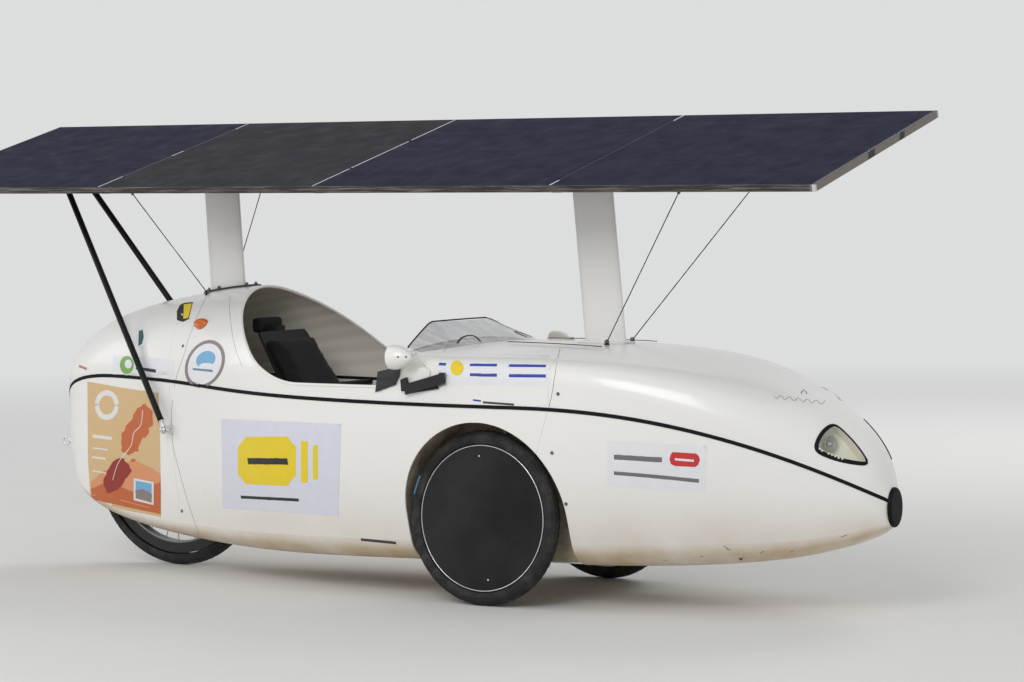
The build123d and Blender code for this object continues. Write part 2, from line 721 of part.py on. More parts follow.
def front_places(side):
    """Places of a front wheel, z along its axle, and of its kingpin, z along the steering axis."""
    centre = Vector(FRONT_AXLE_X, side * FRONT_TRACK / 2, front_axle_z)
    outward = Vector(0, side * cos(camber), sin(camber))
    steering_axis = Vector(0, -side * sin(inclination), cos(inclination))
    kingpin_point = centre - outward * KINGPIN_OFFSET
    wheel_place = Plane(origin=centre, x_dir=(1, 0, 0), z_dir=outward)
    return wheel_place, Plane(origin=kingpin_point, x_dir=(1, 0, 0), z_dir=steering_axis)


# Steering knuckle, built on the left and mirrored to the right
wheel_place, kingpin_place = front_places(1)
arm_length = STEERING_ARM_LENGTH
steering_arm = Pos(-arm_length / 2, 0, (arm_low + arm_high) / 2) * Box(
    arm_length, STEERING_ARM_WIDTH, STEERING_ARM_THICKNESS
)
kingpin = drum(KINGPIN_RADIUS, -KINGPIN_DOWN, KINGPIN_UP) + [
    drum(KINGPIN_FOOT_RADIUS, -KINGPIN_DOWN - KINGPIN_FOOT_LENGTH, STEP_IN - KINGPIN_DOWN),
    steering_arm,
    Pos(-arm_length, 0, 0) * drum(STEERING_ARM_END, arm_low, arm_high),
    Pos(-arm_length, 0, 0) * drum(TIE_PIN_RADIUS, arm_high - STEP_IN, arm_high + TIE_PIN_LENGTH),
]
stub_axle = drum(STUB_RADIUS, -KINGPIN_OFFSET, nut_low + AXLE_NUT_LENGTH) + [
    drum(STUB_SHOULDER_RADIUS, -KINGPIN_OFFSET, -HUB_INBOARD - SEAT_GAP),
    drum(AXLE_NUT_RADIUS, nut_low, nut_low + AXLE_NUT_LENGTH),
]
socket = drum(STRUT_ROD_RADIUS + RUNNING_GAP, KINGPIN_UP - KINGPIN_SOCKET, KINGPIN_UP + STEP_IN)
knuckle = (kingpin_place * kingpin) + (wheel_place * stub_axle) - (kingpin_place * socket)
save("steering_knuckle_left", knuckle)
save("steering_knuckle_right", mirror(knuckle, about=Plane.XZ))

# Front wheels, struts and lower arms
struts = []
lower_arms = []
for name, side in SIDES.items():
    wheel_place, kingpin_place = front_places(side)
    save(f"front_tyre_{name}", wheel_place * front_tyre)
    front_hub = drum(HUB_RADIUS, -HUB_INBOARD, HUB_OUTBOARD)
    wheel = spoked_wheel(
        FRONT_RIM_RADIUS, FRONT_RIM_DEPTH, FRONT_RIM_WIDTH,
        front_hub, FLANGE_RADIUS, front_flange_z, FRONT_SPOKES,
    )
    wheel = wheel - Cylinder(STUB_RADIUS + RUNNING_GAP, FRONT_TYRE_RADIUS)
    save(f"front_wheel_{name}", wheel_place * wheel)
    save(f"wheel_disc_{name}", wheel_place * turned(disc_outline))

    low_y, high_y = sorted((side * (WELL_INNER_Y + WELL_WALL + SEAT_GAP), side * FAR / 4))
    well_space = across(well_space_face, low_y, high_y)
    strut_top = (WELL_TOP_Z - front_axle_z) / cos(inclination) + STRUT_MOUNT_LENGTH
    strut = drum(STRUT_ROD_RADIUS, KINGPIN_UP - KINGPIN_SOCKET + 2 * STEP_IN, strut_top) + drum(
        STRUT_MOUNT_RADIUS, strut_top - 2 * STRUT_MOUNT_LENGTH, strut_top
    )
    struts.append((kingpin_place * strut) & well_space)

    reach = -side * LOWER_ARM_REACH
    plate = make_face(Polyline(
        (-LOWER_ARM_ROOT / 2, reach), (LOWER_ARM_ROOT / 2, reach),
        (LOWER_ARM_TIP / 2, 0), (-LOWER_ARM_TIP / 2, 0), close=True,
    )) + Circle(LOWER_ARM_TIP / 2)
    plate = extrude(Pos(0, 0, lower_arm_low) * plate, LOWER_ARM_THICKNESS)
    plate = plate - Cylinder(KINGPIN_FOOT_RADIUS + RUNNING_GAP, FAR)
    arm_zone = slab((WELL_REAR_X, low_y, 0), (WELL_FRONT_X, high_y, FRONT_TYRE_RADIUS))
    lower_arms.append((kingpin_place * plate) & arm_zone)
save("suspension_struts", gathered(struts))
save("lower_arms", gathered(lower_arms))
beam_ends = [(FRONT_AXLE_X, side * (WELL_INNER_Y - SEAT_GAP), AXLE_BEAM_Z) for side in (-1, 1)]
save("axle_beam", rod(*beam_ends, AXLE_BEAM_RADIUS))

# Track rod between the steering arms
eye_x = FRONT_AXLE_X - STEERING_ARM_LENGTH
eye_y = FRONT_TRACK / 2 - KINGPIN_OFFSET * cos(camber) - eye_middle * sin(inclination)
eye_z = front_axle_z - KINGPIN_OFFSET * sin(camber) + eye_middle * cos(inclination)
track_rod = rod((eye_x, -eye_y, eye_z), (eye_x, eye_y, eye_z), TRACK_ROD_RADIUS)
rod_eye = Cylinder(EYE_RADIUS, EYE_THICKNESS)
track_rod = track_rod + [Pos(eye_x, side * eye_y, eye_z) * rod_eye for side in (1, -1)]
for side in SIDES.values():
    bore_place = Pos(eye_x + EYE_BORE_OFFSET, side * eye_y, eye_z)
    eye_bore = bore_place * Cylinder(EYE_BORE_RADIUS, 4 * EYE_THICKNESS)
    track_rod = track_rod - eye_bore
save("track_rod", track_rod)

# Front wheel wells
well_outer_face = arch_profile(WELL_REAR_X, WELL_FRONT_X, WELL_TOP_Z, -GROUND_CLEAR, 0.0)
well_inner_face = arch_profile(WELL_REAR_X, WELL_FRONT_X, WELL_TOP_Z, -GROUND_CLEAR - STEP_IN, WELL_WALL)
rod_hole = rod((eye_x, -FAR / 4, eye_z), (eye_x, FAR / 4, eye_z), TRACK_ROD_RADIUS + TRACK_ROD_HOLE_GAP)
wells = []
for side in SIDES.values():
    outer_low, outer_high = sorted((side * WELL_INNER_Y, side * FAR / 4))
    inner_low, inner_high = sorted((side * (WELL_INNER_Y + WELL_WALL), side * FAR / 3))
    well = across(well_outer_face, outer_low, outer_high) - across(well_inner_face, inner_low, inner_high)
    wells.append((well - rod_hole) & inside_fit)
save("wheel_wells", gathered(wells))

# Rear wheel
rear_place = Plane(origin=(REAR_AXLE_X, 0, REAR_TYRE_RADIUS), x_dir=(1, 0, 0), z_dir=(0, 1, 0))
rear_ring_radius = REAR_TYRE_RADIUS - REAR_TYRE_SECTION
rear_tyre_bore = Cylinder(REAR_RIM_RADIUS + SEAT_GAP, REAR_TYRE_RADIUS)
rear_tyre = Torus(rear_ring_radius, REAR_TYRE_SECTION) - rear_tyre_bore
save("rear_tyre", rear_place * rear_tyre)
rear_hub = drum(REAR_HUB_RADIUS, -REAR_HUB_LENGTH / 2, REAR_HUB_LENGTH / 2)
rear_flange_z = (REAR_FLANGE_SPREAD / 2, -REAR_FLANGE_SPREAD / 2)
rear_wheel = spoked_wheel(
    REAR_RIM_RADIUS, REAR_RIM_DEPTH, REAR_RIM_WIDTH,
    rear_hub, REAR_FLANGE_RADIUS, rear_flange_z, REAR_SPOKES,
)
save("rear_wheel", rear_place * (rear_wheel - Cylinder(REAR_AXLE_RADIUS + RUNNING_GAP, REAR_TYRE_RADIUS)))

# Rear fork
fork_rise = REAR_TYRE_RADIUS - FORK_PIVOT_Z
fork_run = REAR_AXLE_X - FORK_PIVOT_X
fork_length = sqrt(fork_rise ** 2 + fork_run ** 2)
fork_angle = degrees(atan2(fork_rise, fork_run))


def blade_profile(growth):
    """Side view of a fork blade, grown evenly."""
    half_height = FORK_BLADE_HEIGHT / 2 + growth
    middle = Pos(fork_length / 2, 0) * Rectangle(fork_length, 2 * half_height)
    ends = Circle(half_height) + Pos(fork_length, 0) * Circle(half_height)
    return Pos(FORK_PIVOT_X, FORK_PIVOT_Z) * Rot(0, 0, fork_angle) * (middle + ends)


blade_outer_y = FORK_BLADE_INNER_Y + FORK_BLADE_THICKNESS
bridge_z = FORK_PIVOT_Z + fork_rise * (FORK_BRIDGE_X - FORK_PIVOT_X) / fork_run
nut_reach = blade_outer_y + AXLE_NUT_LENGTH


def cross_rod(x, z, reach, radius):
    """Round bar straight across the vehicle, as far as reach on both sides."""
    return rod((x, -reach, z), (x, reach, z), radius)


rear_fork = cross_rod(FORK_PIVOT_X, FORK_PIVOT_Z, blade_outer_y, FORK_PIVOT_RADIUS) + [
    across(blade_profile(0.0), FORK_BLADE_INNER_Y, blade_outer_y),
    across(blade_profile(0.0), -blade_outer_y, -FORK_BLADE_INNER_Y),
    cross_rod(FORK_BRIDGE_X, bridge_z, blade_outer_y, FORK_BRIDGE_RADIUS),
    rear_place * drum(REAR_AXLE_RADIUS, -nut_reach, nut_reach),
    rear_place * drum(AXLE_NUT_RADIUS, blade_outer_y - STEP_IN, nut_reach),
    rear_place * drum(AXLE_NUT_RADIUS, -nut_reach, STEP_IN - blade_outer_y),
]
pivot_bore = cross_rod(FORK_PIVOT_X, FORK_PIVOT_Z, FAR / 4, FORK_PIN_RADIUS + SEAT_GAP)
save("rear_fork", rear_fork - pivot_bore)
bracket_inner_y = blade_outer_y + SEAT_GAP
bracket_outer_y = bracket_inner_y + FORK_BRACKET_THICKNESS
bracket_face = Pos(FORK_PIVOT_X, FORK_PIVOT_Z / 2) * Rectangle(FORK_BRACKET_LENGTH, FORK_PIVOT_Z)
bracket_face = bracket_face + Pos(FORK_PIVOT_X, FORK_PIVOT_Z) * Circle(FORK_BRACKET_LENGTH / 2)
brackets = cross_rod(FORK_PIVOT_X, FORK_PIVOT_Z, bracket_outer_y, FORK_PIN_RADIUS) + [
    across(bracket_face, bracket_inner_y, bracket_outer_y),
    across(bracket_face, -bracket_outer_y, -bracket_inner_y),
]
save("fork_brackets", brackets & inside_fit)

# Rear wheel well
rear_well = drum(REAR_WELL_RADIUS, -REAR_WELL_HALF_WIDTH, REAR_WELL_HALF_WIDTH) - drum(
    REAR_WELL_RADIUS - REAR_WELL_WALL,
    REAR_WELL_WALL - REAR_WELL_HALF_WIDTH,
    REAR_WELL_HALF_WIDTH - REAR_WELL_WALL,
)
window_face = blade_profile(FORK_BLADE_GAP)
window_zone = slab((REAR_AXLE_X + REAR_WELL_RADIUS / 2, -FAR / 4, 0), (0, FAR / 4, REAR_TYRE_RADIUS))
windows = [
    across(window_face, FORK_BLADE_INNER_Y - FORK_BLADE_GAP, blade_outer_y + FORK_BLADE_GAP) & window_zone,
    across(window_face, -blade_outer_y - FORK_BLADE_GAP, FORK_BLADE_GAP - FORK_BLADE_INNER_Y) & window_zone,
]
save("rear_well", ((rear_place * rear_well) - windows[0] - windows[1]) & inside_fit)

# Solar roof
tilt = radians(ROOF_TILT)
beam_z = ROOF_CENTRE_Z - BEAM_DROP * cos(tilt)
pitch = radians(ROOF_PITCH)
roof_place = Pos(ROOF_CENTRE_X, 0, beam_z) * Rot(0, ROOF_PITCH, 0) * Rot(ROOF_TILT, 0, 0)


def beam_point(x):
    """Point on the middle line of the roof beam, which drops slightly to the nose."""
    return x, 0.0, beam_z - (x - ROOF_CENTRE_X) * tan(pitch)


def beam_groove(x):
    """Round bar a fitting gap wider than the beam, along a short stretch of it."""
    return rod(beam_point(x - MAST_CHORD), beam_point(x + MAST_CHORD), BEAM_RADIUS + SEAT_GAP)


panel_pitch = PANEL_LENGTH + PANEL_GAP
panels_length = PANEL_COUNT * panel_pitch - PANEL_GAP
for number in range(PANEL_COUNT):
    panel_x = (number - (PANEL_COUNT - 1) / 2) * panel_pitch
    panel = Pos(panel_x, 0, BEAM_DROP) * Box(PANEL_LENGTH, PANEL_WIDTH, PANEL_THICKNESS)
    save(f"solar_panel_{number + 1}", roof_place * panel)
edge_length = panels_length + 2 * SEAT_GAP
edge_width = PANEL_WIDTH + 2 * SEAT_GAP
edge_inside = Box(edge_length, edge_width, 2 * PANEL_THICKNESS)
edge_outside = Box(edge_length + 2 * EDGE_THICKNESS, edge_width + 2 * EDGE_THICKNESS, PANEL_THICKNESS)
save("roof_edge", roof_place * (Pos(0, 0, BEAM_DROP) * (edge_outside - edge_inside)))
bar_top = BEAM_DROP - PANEL_THICKNESS / 2 - SEAT_GAP
roof_bars = []
for number in range(1, PANEL_COUNT):
    bar_x = (number - PANEL_COUNT / 2) * panel_pitch
    bar = Box(CROSSBAR_WIDTH, CROSSBAR_LENGTH, CROSSBAR_HEIGHT)
    bar = Pos(bar_x, 0, bar_top - CROSSBAR_HEIGHT / 2) * bar
    collar = Pos(bar_x, 0, 0) * Rot(0, 90, 0) * Cylinder(BEAM_RADIUS + COLLAR_WALL, COLLAR_LENGTH)
    collar = collar & slab((-FAR, -FAR, -FAR), (FAR, FAR, bar_top))
    bore = Pos(bar_x, 0, 0) * Rot(0, 90, 0) * Cylinder(BEAM_RADIUS + RUNNING_GAP, FAR / 4)
    roof_bars.append(roof_place * (bar + collar - bore))
save("roof_crossbars", gathered(roof_bars))
beam_ends = [beam_point(ROOF_CENTRE_X + half * BEAM_LENGTH) for half in (-0.5, 0.5)]
save("roof_beam", rod(*beam_ends, BEAM_RADIUS))

# Masts and their foot plates
foot_fit = body_solid(-SEAT_GAP - MAST_FOOT_THICKNESS)
foot_plates = []
for name, base_x, deck_z, lean, foot_rear_x, foot_front_x in MASTS:
    mast_place = Pos(base_x, 0, deck_z) * Rot(0, -lean, 0)
    outline = Ellipse(MAST_CHORD / 2, MAST_THICKNESS / 2)
    mast = mast_place * (Pos(0, 0, MAST_LOW) * extrude(outline, MAST_HIGH))
    top_x = base_x - (beam_z - deck_z) * tan(radians(lean))
    local_beam_z = beam_point(top_x)[2]
    mast_top = local_beam_z - BEAM_RADIUS - MAST_TOP_GAP
    mast = (mast & slab((-FAR, -FAR, 0), (FAR, FAR, mast_top))) - outside_fit
    saddle = slab(
        (top_x - MAST_SADDLE_LENGTH / 2, -MAST_THICKNESS / 2, mast_top - MAST_SADDLE_DEPTH),
        (top_x + MAST_SADDLE_LENGTH / 2, MAST_THICKNESS / 2, local_beam_z - MAST_SADDLE_DROP),
    )
    save(name, mast + (saddle - beam_groove(top_x)))
    hole_outline = Ellipse(MAST_CHORD / 2 + SEAT_GAP, MAST_THICKNESS / 2 + SEAT_GAP)
    hole = mast_place * (Pos(0, 0, -MAST_FOOT_REACH) * extrude(hole_outline, 2 * MAST_FOOT_REACH))
    plate = slab(
        (foot_rear_x, -MAST_FOOT_WIDTH / 2, deck_z - MAST_FOOT_REACH),
        (foot_front_x, MAST_FOOT_WIDTH / 2, deck_z + MAST_FOOT_REACH),
    )
    foot_plates.append((plate & foot_fit) - outside_fit - hole)
save("mast_feet", gathered(foot_plates))

# Rear struts in one frame
strut_pieces = []
for side in SIDES.values():
    foot = on_side(STRUT_FOOT, side)
    strut_pieces.append(rod(foot, on_side(STRUT_TOP, side), STRUT_RADIUS))
    half = STRUT_BRACKET_SIZE / 2
    bracket_y = sorted((foot[1] - side * STRUT_BRACKET_ROOT, foot[1] + side * STRUT_RADIUS))
    strut_pieces.append(slab(
        (foot[0] - half, bracket_y[0], foot[2] - half),
        (foot[0] + half, bracket_y[1], foot[2] + half),
    ))
clamp = slab(
    (STRUT_TOP[0] - STRUT_CLAMP_LENGTH / 2, -STRUT_CLAMP_HALF_WIDTH, STRUT_CLAMP_Z[0]),
    (STRUT_TOP[0] + STRUT_CLAMP_LENGTH / 2, STRUT_CLAMP_HALF_WIDTH, STRUT_CLAMP_Z[1]),
)
collar_half = BEAM_RADIUS + COLLAR_WALL
clamp_collar = slab(
    (STRUT_TOP[0] - STRUT_CLAMP_LENGTH / 2, -collar_half, STRUT_CLAMP_Z[0]),
    (STRUT_TOP[0] + STRUT_CLAMP_LENGTH / 2, collar_half, beam_point(STRUT_TOP[0])[2] - MAST_SADDLE_DROP),
)
rear_struts = clamp + [clamp_collar] + strut_pieces
save("rear_struts", rear_struts - beam_groove(STRUT_TOP[0]) - outside_fit)


def surface_hit(start, direction):
    """Point and outward normal where a line out of the body leaves the fitting surface."""
    line = Axis(start, direction)
    hits = outside_fit.find_intersection_points(line)
    hits = [hit for hit in hits if (hit[0] - Vector(*start)).dot(Vector(*direction)) > 0]
    return max(hits, key=lambda hit: (hit[0] - Vector(*start)).dot(Vector(*direction)))


# Cords with the eyes and posts they end at
cords = []
roof_eyes = []
deck_posts = []
eye_side_y = PANEL_WIDTH / 2 - CORD_EDGE_INSET
for roof_x, deck_x, deck_y in CORDS:
    for side in SIDES.values():
        eye_top = Pos(roof_x - ROOF_CENTRE_X, side * eye_side_y, bar_top)
        roof_eyes.append(roof_place * eye_top * drum(EYE_POST_RADIUS, -EYE_POST_HEIGHT, 0.0))
        eye_end = (roof_place * eye_top * Pos(0, 0, -EYE_POST_HEIGHT - CORD_RADIUS)).position
        deck_hit = surface_hit((deck_x, side * deck_y, BODY_INSIDE_Z), (0, 0, 1))[0]
        post = drum(DECK_POST_RADIUS, -DECK_POST_HEIGHT, DECK_POST_HEIGHT)
        post = Pos(deck_x, side * deck_y, deck_hit.Z) * post
        deck_posts.append(post - outside_fit)
        cord_end = deck_hit + Vector(0, 0, DECK_POST_HEIGHT + 2 * CORD_RADIUS)
        cords.append(rod(tuple(eye_end), tuple(cord_end), CORD_RADIUS))
save("tilt_cords", gathered(cords))
save("roof_cord_eyes", gathered(roof_eyes))
save("deck_cord_posts", gathered(deck_posts))

# Seat
seat_run = Vector(SEAT_HIP[0] - SEAT_FRONT[0], SEAT_HIP[1] - SEAT_FRONT[1]).normalized()
back_run = Vector(SEAT_TOP[0] - SEAT_HIP[0], SEAT_TOP[1] - SEAT_HIP[1]).normalized()
seat_normal = Vector(seat_run.Y, -seat_run.X)
back_normal = Vector(back_run.Y, -back_run.X)
hip_scale = 1.0 / (1.0 + seat_normal.dot(back_normal))


def seat_line(height):
    """Front, hip and top corner of the seat's bent line, moved off the seat by a height."""
    front = Vector(*SEAT_FRONT) + seat_normal * height
    hip = Vector(*SEAT_HIP) + (seat_normal + back_normal) * (height * hip_scale)
    top = Vector(*SEAT_TOP) + back_normal * height
    return [(front.X, front.Y), (hip.X, hip.Y), (top.X, top.Y)]


def bent_strip(low, high):
    """Side view of a layer that follows the seat between two heights above its underside."""
    low_line = seat_line(low)
    high_line = seat_line(high)
    face = make_face(Polyline(low_line + list(reversed(high_line)), close=True))
    for line, height in ((low_line, low), (high_line, high)):
        corner = face.vertices().sort_by_distance((*line[1], 0))[0]
        face = fillet(corner, SEAT_HIP_FILLET - height)
    return face


back_place = Plane(
    origin=(SEAT_HIP[0], 0, SEAT_HIP[1]),
    x_dir=(back_run.X, 0, back_run.Y),
    z_dir=(back_normal.X, 0, back_normal.Y),
)
back_length = (Vector(*SEAT_TOP) - Vector(*SEAT_HIP)).length


def seat_outline(margin):
    """Prism with the seat's outline as seen square to its back, shrunk by a margin."""
    wide = SEAT_HALF_WIDTH - margin
    narrow = SEAT_TOP_HALF_WIDTH - margin
    end = back_length + SEAT_TOP_MARGIN - margin
    right_side = [(-SEAT_NARROWING, -wide), (SEAT_NARROWING, -wide), (end, -narrow)]
    left_side = [(end, narrow), (SEAT_NARROWING, wide), (-SEAT_NARROWING, wide)]
    face = make_face(Polyline(right_side + left_side, close=True))
    corners = [face.vertices().sort_by_distance((end, side * narrow, 0))[0] for side in (1, -1)]
    face = fillet(corners, SEAT_CORNER_FILLET)
    low, high = SEAT_PRISM_DEPTHS
    return back_place * (Pos(0, 0, low) * extrude(face, high - low))


seat_shell = across(bent_strip(0.0, SEAT_THICKNESS), -SEAT_HALF_WIDTH, SEAT_HALF_WIDTH) & seat_outline(0.0)
headrest_rear_x = HEADREST_CENTRE[0] + HEADREST_SIZE[0] / 2 + SEAT_GAP
headrest_arm = slab(
    (headrest_rear_x, -HEADREST_ARM_HALF_WIDTH, HEADREST_ARM_Z[0]),
    (SEAT_TOP[0] + 2 * STEP_IN, HEADREST_ARM_HALF_WIDTH, HEADREST_ARM_Z[1]),
)
save("seat_shell", seat_shell + headrest_arm)
pad_low = SEAT_THICKNESS + SEAT_GAP
pad = across(bent_strip(pad_low, pad_low + PAD_THICKNESS), -SEAT_HALF_WIDTH, SEAT_HALF_WIDTH)
pad_zone = slab((-FAR, -FAR, 0), (SEAT_FRONT[0] - PAD_MARGIN, FAR, SEAT_TOP[1] - PAD_MARGIN))
save("seat_pad", pad & seat_outline(PAD_MARGIN) & pad_zone)
headrest = Pos(*HEADREST_CENTRE) * Box(*HEADREST_SIZE)
save("headrest", fillet(headrest.edges(), HEADREST_ROUNDING))
below_line = seat_line(-SEAT_GAP)
below_points = below_line + [(below_line[2][0] - STEP_IN, 0.0), (below_line[0][0], 0.0)]
below_face = make_face(Polyline(below_points, close=True))
below_corner = below_face.vertices().sort_by_distance((*below_line[1], 0))[0]
below_face = fillet(below_corner, SEAT_HIP_FILLET + SEAT_GAP)
below_zone = across(below_face, -SEAT_HALF_WIDTH, SEAT_HALF_WIDTH)
feet = []
for foot_x in SEAT_FEET_X:
    for side in SIDES.values():
        foot = Box(SEAT_FOOT_LENGTH, SEAT_FOOT_WIDTH, SEAT_FOOT_HIGH - SEAT_FOOT_LOW)
        foot = Pos(foot_x, side * SEAT_FOOT_Y, (SEAT_FOOT_LOW + SEAT_FOOT_HIGH) / 2) * foot
        feet.append(foot & below_zone & inside_fit)
save("seat_feet", gathered(feet))
brace_point = Vector(*SEAT_HIP) + back_run * SEAT_BRACE_REACH
brace_point = brace_point - back_normal * (SEAT_BRACE_RADIUS + SEAT_GAP)
save("seat_brace", cross_rod(brace_point.X, brace_point.Y, FAR / 4, SEAT_BRACE_RADIUS) & inside_fit)


# Mirrors
def pod_shape(growth):
    """Rounded pod about the local z axis, its flat rear at z = 0, grown evenly."""
    radius = MIRROR_RADIUS + growth
    length = MIRROR_LENGTH + growth
    fullest = (MIRROR_CURVE[0] * radius, MIRROR_CURVE[1] * length)
    curve = ThreePointArc((radius, 0), fullest, (MIRROR_TIP_RADIUS, length))
    straight = Polyline((MIRROR_TIP_RADIUS, length), (0, length), (0, 0), (radius, 0))
    face = make_face(Curve() + [curve, straight])
    return revolve(Plane.XZ * face, Axis.Z, 360)


pods = []
glasses = []
stalks = []
pod_rear_x = MIRROR_CENTRE[0] - MIRROR_LENGTH / 2
recess_radius = MIRROR_RADIUS - MIRROR_RIM
for side in SIDES.values():
    pod_place = Pos(pod_rear_x, side * MIRROR_CENTRE[1], MIRROR_CENTRE[2]) * Rot(0, 90, 0)
    pod = pod_shape(0.0) - drum(recess_radius, -STEP_IN, MIRROR_GLASS_THICKNESS + 2 * SEAT_GAP)
    points = [on_side(point, side) for point in STALK_POINTS]
    stalk = rod(points[0], points[1], STALK_RADIUS) + [
        Pos(*points[1]) * Sphere(STALK_RADIUS),
        rod(points[1], points[2], STALK_RADIUS),
    ]
    pods.append(pod_place * pod)
    glasses.append(pod_place * drum(recess_radius - SEAT_GAP, SEAT_GAP, SEAT_GAP + MIRROR_GLASS_THICKNESS))
    stalks.append(stalk - outside_fit - (pod_place * pod_shape(SEAT_GAP)))
save("mirror_pods", gathered(pods))
save("mirror_glasses", gathered(glasses))
save("mirror_stalks", gathered(stalks))

# Indicators
indicators = []
for side in SIDES.values():
    point, normal = surface_hit((INDICATOR_X, 0, INDICATOR_Z), (0, side, 0))
    lamp_place = Plane(origin=point, x_dir=(1, 0, 0), z_dir=(0, normal.Y, normal.Z))
    lamp = extrude(Ellipse(INDICATOR_LENGTH / 2, INDICATOR_HEIGHT / 2), INDICATOR_PROUD + INDICATOR_ROOT)
    lamp = fillet(lamp.faces().sort_by(Axis.Z)[-1].edges(), INDICATOR_ROUNDING)
    indicators.append((lamp_place * Pos(0, 0, -INDICATOR_ROOT) * lamp) - outside_fit)
save("indicators", gathered(indicators))

# Tow eye
eye_front_x = BODY_SECTIONS[0][0] - TAIL_CAP_DEPTH - 2 * SEAT_GAP
eye_bar = Rectangle(eye_front_x - TOW_EYE_X, 2 * TOW_EYE_RADIUS)
eye_face = Pos((TOW_EYE_X + eye_front_x) / 2, TOW_EYE_Z) * eye_bar
eye_place = Pos(TOW_EYE_X, TOW_EYE_Z)
eye_face = eye_face + eye_place * Circle(TOW_EYE_RADIUS) - eye_place * Circle(TOW_HOLE_RADIUS)
save("tow_eye", across(eye_face, -TOW_EYE_THICKNESS / 2, TOW_EYE_THICKNESS / 2))

# Windscreen
screen_run = SCREEN_FRONT_X - SCREEN_SIDE[0]
screen_base_radius = (screen_run ** 2 + SCREEN_SIDE[1] ** 2) / (2 * screen_run)
screen_centre_x = SCREEN_FRONT_X - screen_base_radius
screen_lean = tan(radians(SCREEN_LEAN))
screen_foot_radius = screen_base_radius + (SCREEN_BASE_Z - SCREEN_FOOT_Z) * screen_lean
screen_top_radius = screen_base_radius - (SCREEN_TOP_Z - SCREEN_BASE_Z) * screen_lean
screen = turned([
    (screen_foot_radius, SCREEN_FOOT_Z),
    (screen_top_radius, SCREEN_TOP_Z),
    (screen_top_radius - SCREEN_THICKNESS, SCREEN_TOP_Z),
    (screen_foot_radius - SCREEN_THICKNESS, SCREEN_FOOT_Z),
])
screen_zone = slab((0, -SCREEN_SIDE[1], -FAR), (FAR, SCREEN_SIDE[1], FAR))
screen_zone = Pos(SCREEN_REAR_X, 0, SCREEN_BASE_Z) * Rot(0, -SCREEN_REAR_LEAN, 0) * screen_zone
save("windscreen", (Pos(screen_centre_x, 0, 0) * screen & screen_zone) - outside_fit)
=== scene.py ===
"""Velomobile with solar roof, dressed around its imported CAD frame.

All places are in metres in the frame's own axes: +X to the nose, +Y to the left, +Z up.
Outlines and routes on the shell are in pixels of the photograph, which is 1024 by 682.
"""

import json
import math

import bmesh
import bpy
from mathutils import Matrix, Vector, noise
from mathutils.bvhtree import BVHTree

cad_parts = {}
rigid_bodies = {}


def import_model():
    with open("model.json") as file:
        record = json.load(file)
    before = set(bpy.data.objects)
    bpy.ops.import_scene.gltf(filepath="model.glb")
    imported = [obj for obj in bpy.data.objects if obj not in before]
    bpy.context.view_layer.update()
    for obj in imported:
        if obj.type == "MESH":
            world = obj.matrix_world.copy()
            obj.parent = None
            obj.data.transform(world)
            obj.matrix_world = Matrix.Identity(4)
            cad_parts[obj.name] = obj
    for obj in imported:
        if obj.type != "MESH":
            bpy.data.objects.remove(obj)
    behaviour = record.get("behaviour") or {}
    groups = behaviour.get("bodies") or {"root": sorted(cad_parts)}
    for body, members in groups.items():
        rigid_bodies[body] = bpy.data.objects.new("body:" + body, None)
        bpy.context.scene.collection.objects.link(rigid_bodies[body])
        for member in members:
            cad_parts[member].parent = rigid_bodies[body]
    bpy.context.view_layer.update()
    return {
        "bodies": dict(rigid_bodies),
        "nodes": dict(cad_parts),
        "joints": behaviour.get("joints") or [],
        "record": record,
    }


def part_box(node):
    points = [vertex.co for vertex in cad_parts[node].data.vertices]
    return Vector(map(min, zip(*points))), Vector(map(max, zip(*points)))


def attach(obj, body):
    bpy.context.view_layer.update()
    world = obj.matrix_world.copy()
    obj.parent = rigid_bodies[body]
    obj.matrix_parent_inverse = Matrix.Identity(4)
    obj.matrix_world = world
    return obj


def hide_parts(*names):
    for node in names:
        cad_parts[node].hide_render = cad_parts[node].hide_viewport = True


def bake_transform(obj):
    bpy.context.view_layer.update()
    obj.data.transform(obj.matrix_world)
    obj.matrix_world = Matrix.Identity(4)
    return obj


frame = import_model()
nodes = frame["nodes"]

# Camera, matched to the photograph
CAMERA_PLACE = Vector((5.0218, -7.0627, 1.1413))
CAMERA_AZIMUTH = math.radians(33.149)
CAMERA_PITCH = math.radians(2.859)
CAMERA_ROLL = math.radians(-0.771)
FOCAL_PIXELS = 2923.7
PHOTO_WIDTH = 1024
PHOTO_CENTRE = (512.0, 341.0)
SENSOR_WIDTH = 36.0

# Colours, linear
BODY_WHITE = (0.86, 0.845, 0.815)
# Beige of dust and of painted shade on the underside
DUST_AND_SHADE = (0.5, 0.35, 0.17)
LINING = (0.9, 0.85, 0.76)
BLACK = (0.006, 0.006, 0.0065)
RUBBER = (0.009, 0.009, 0.01)
TYRE_BLACK = (0.026, 0.026, 0.027)
CELL_BLUE = (0.016, 0.0155, 0.038)
CELL_GREY = (0.032, 0.03, 0.033)
CELL_LINE = (0.045, 0.047, 0.07)
BACK_SHEET = (0.03, 0.03, 0.032)
ALUMINIUM = (0.55, 0.56, 0.57)
STEEL = (0.38, 0.39, 0.4)
AMBER = (0.6, 0.13, 0.01)
EDGE_DARK = (0.03, 0.028, 0.026)
FILM_DARK = (0.03, 0.03, 0.034)
FLOOR = (0.72, 0.71, 0.69)
BACKDROP = (0.72, 0.725, 0.73)
SKYLIGHT = (0.96, 0.98, 1.0)
LOW_GLOSS = 0.12

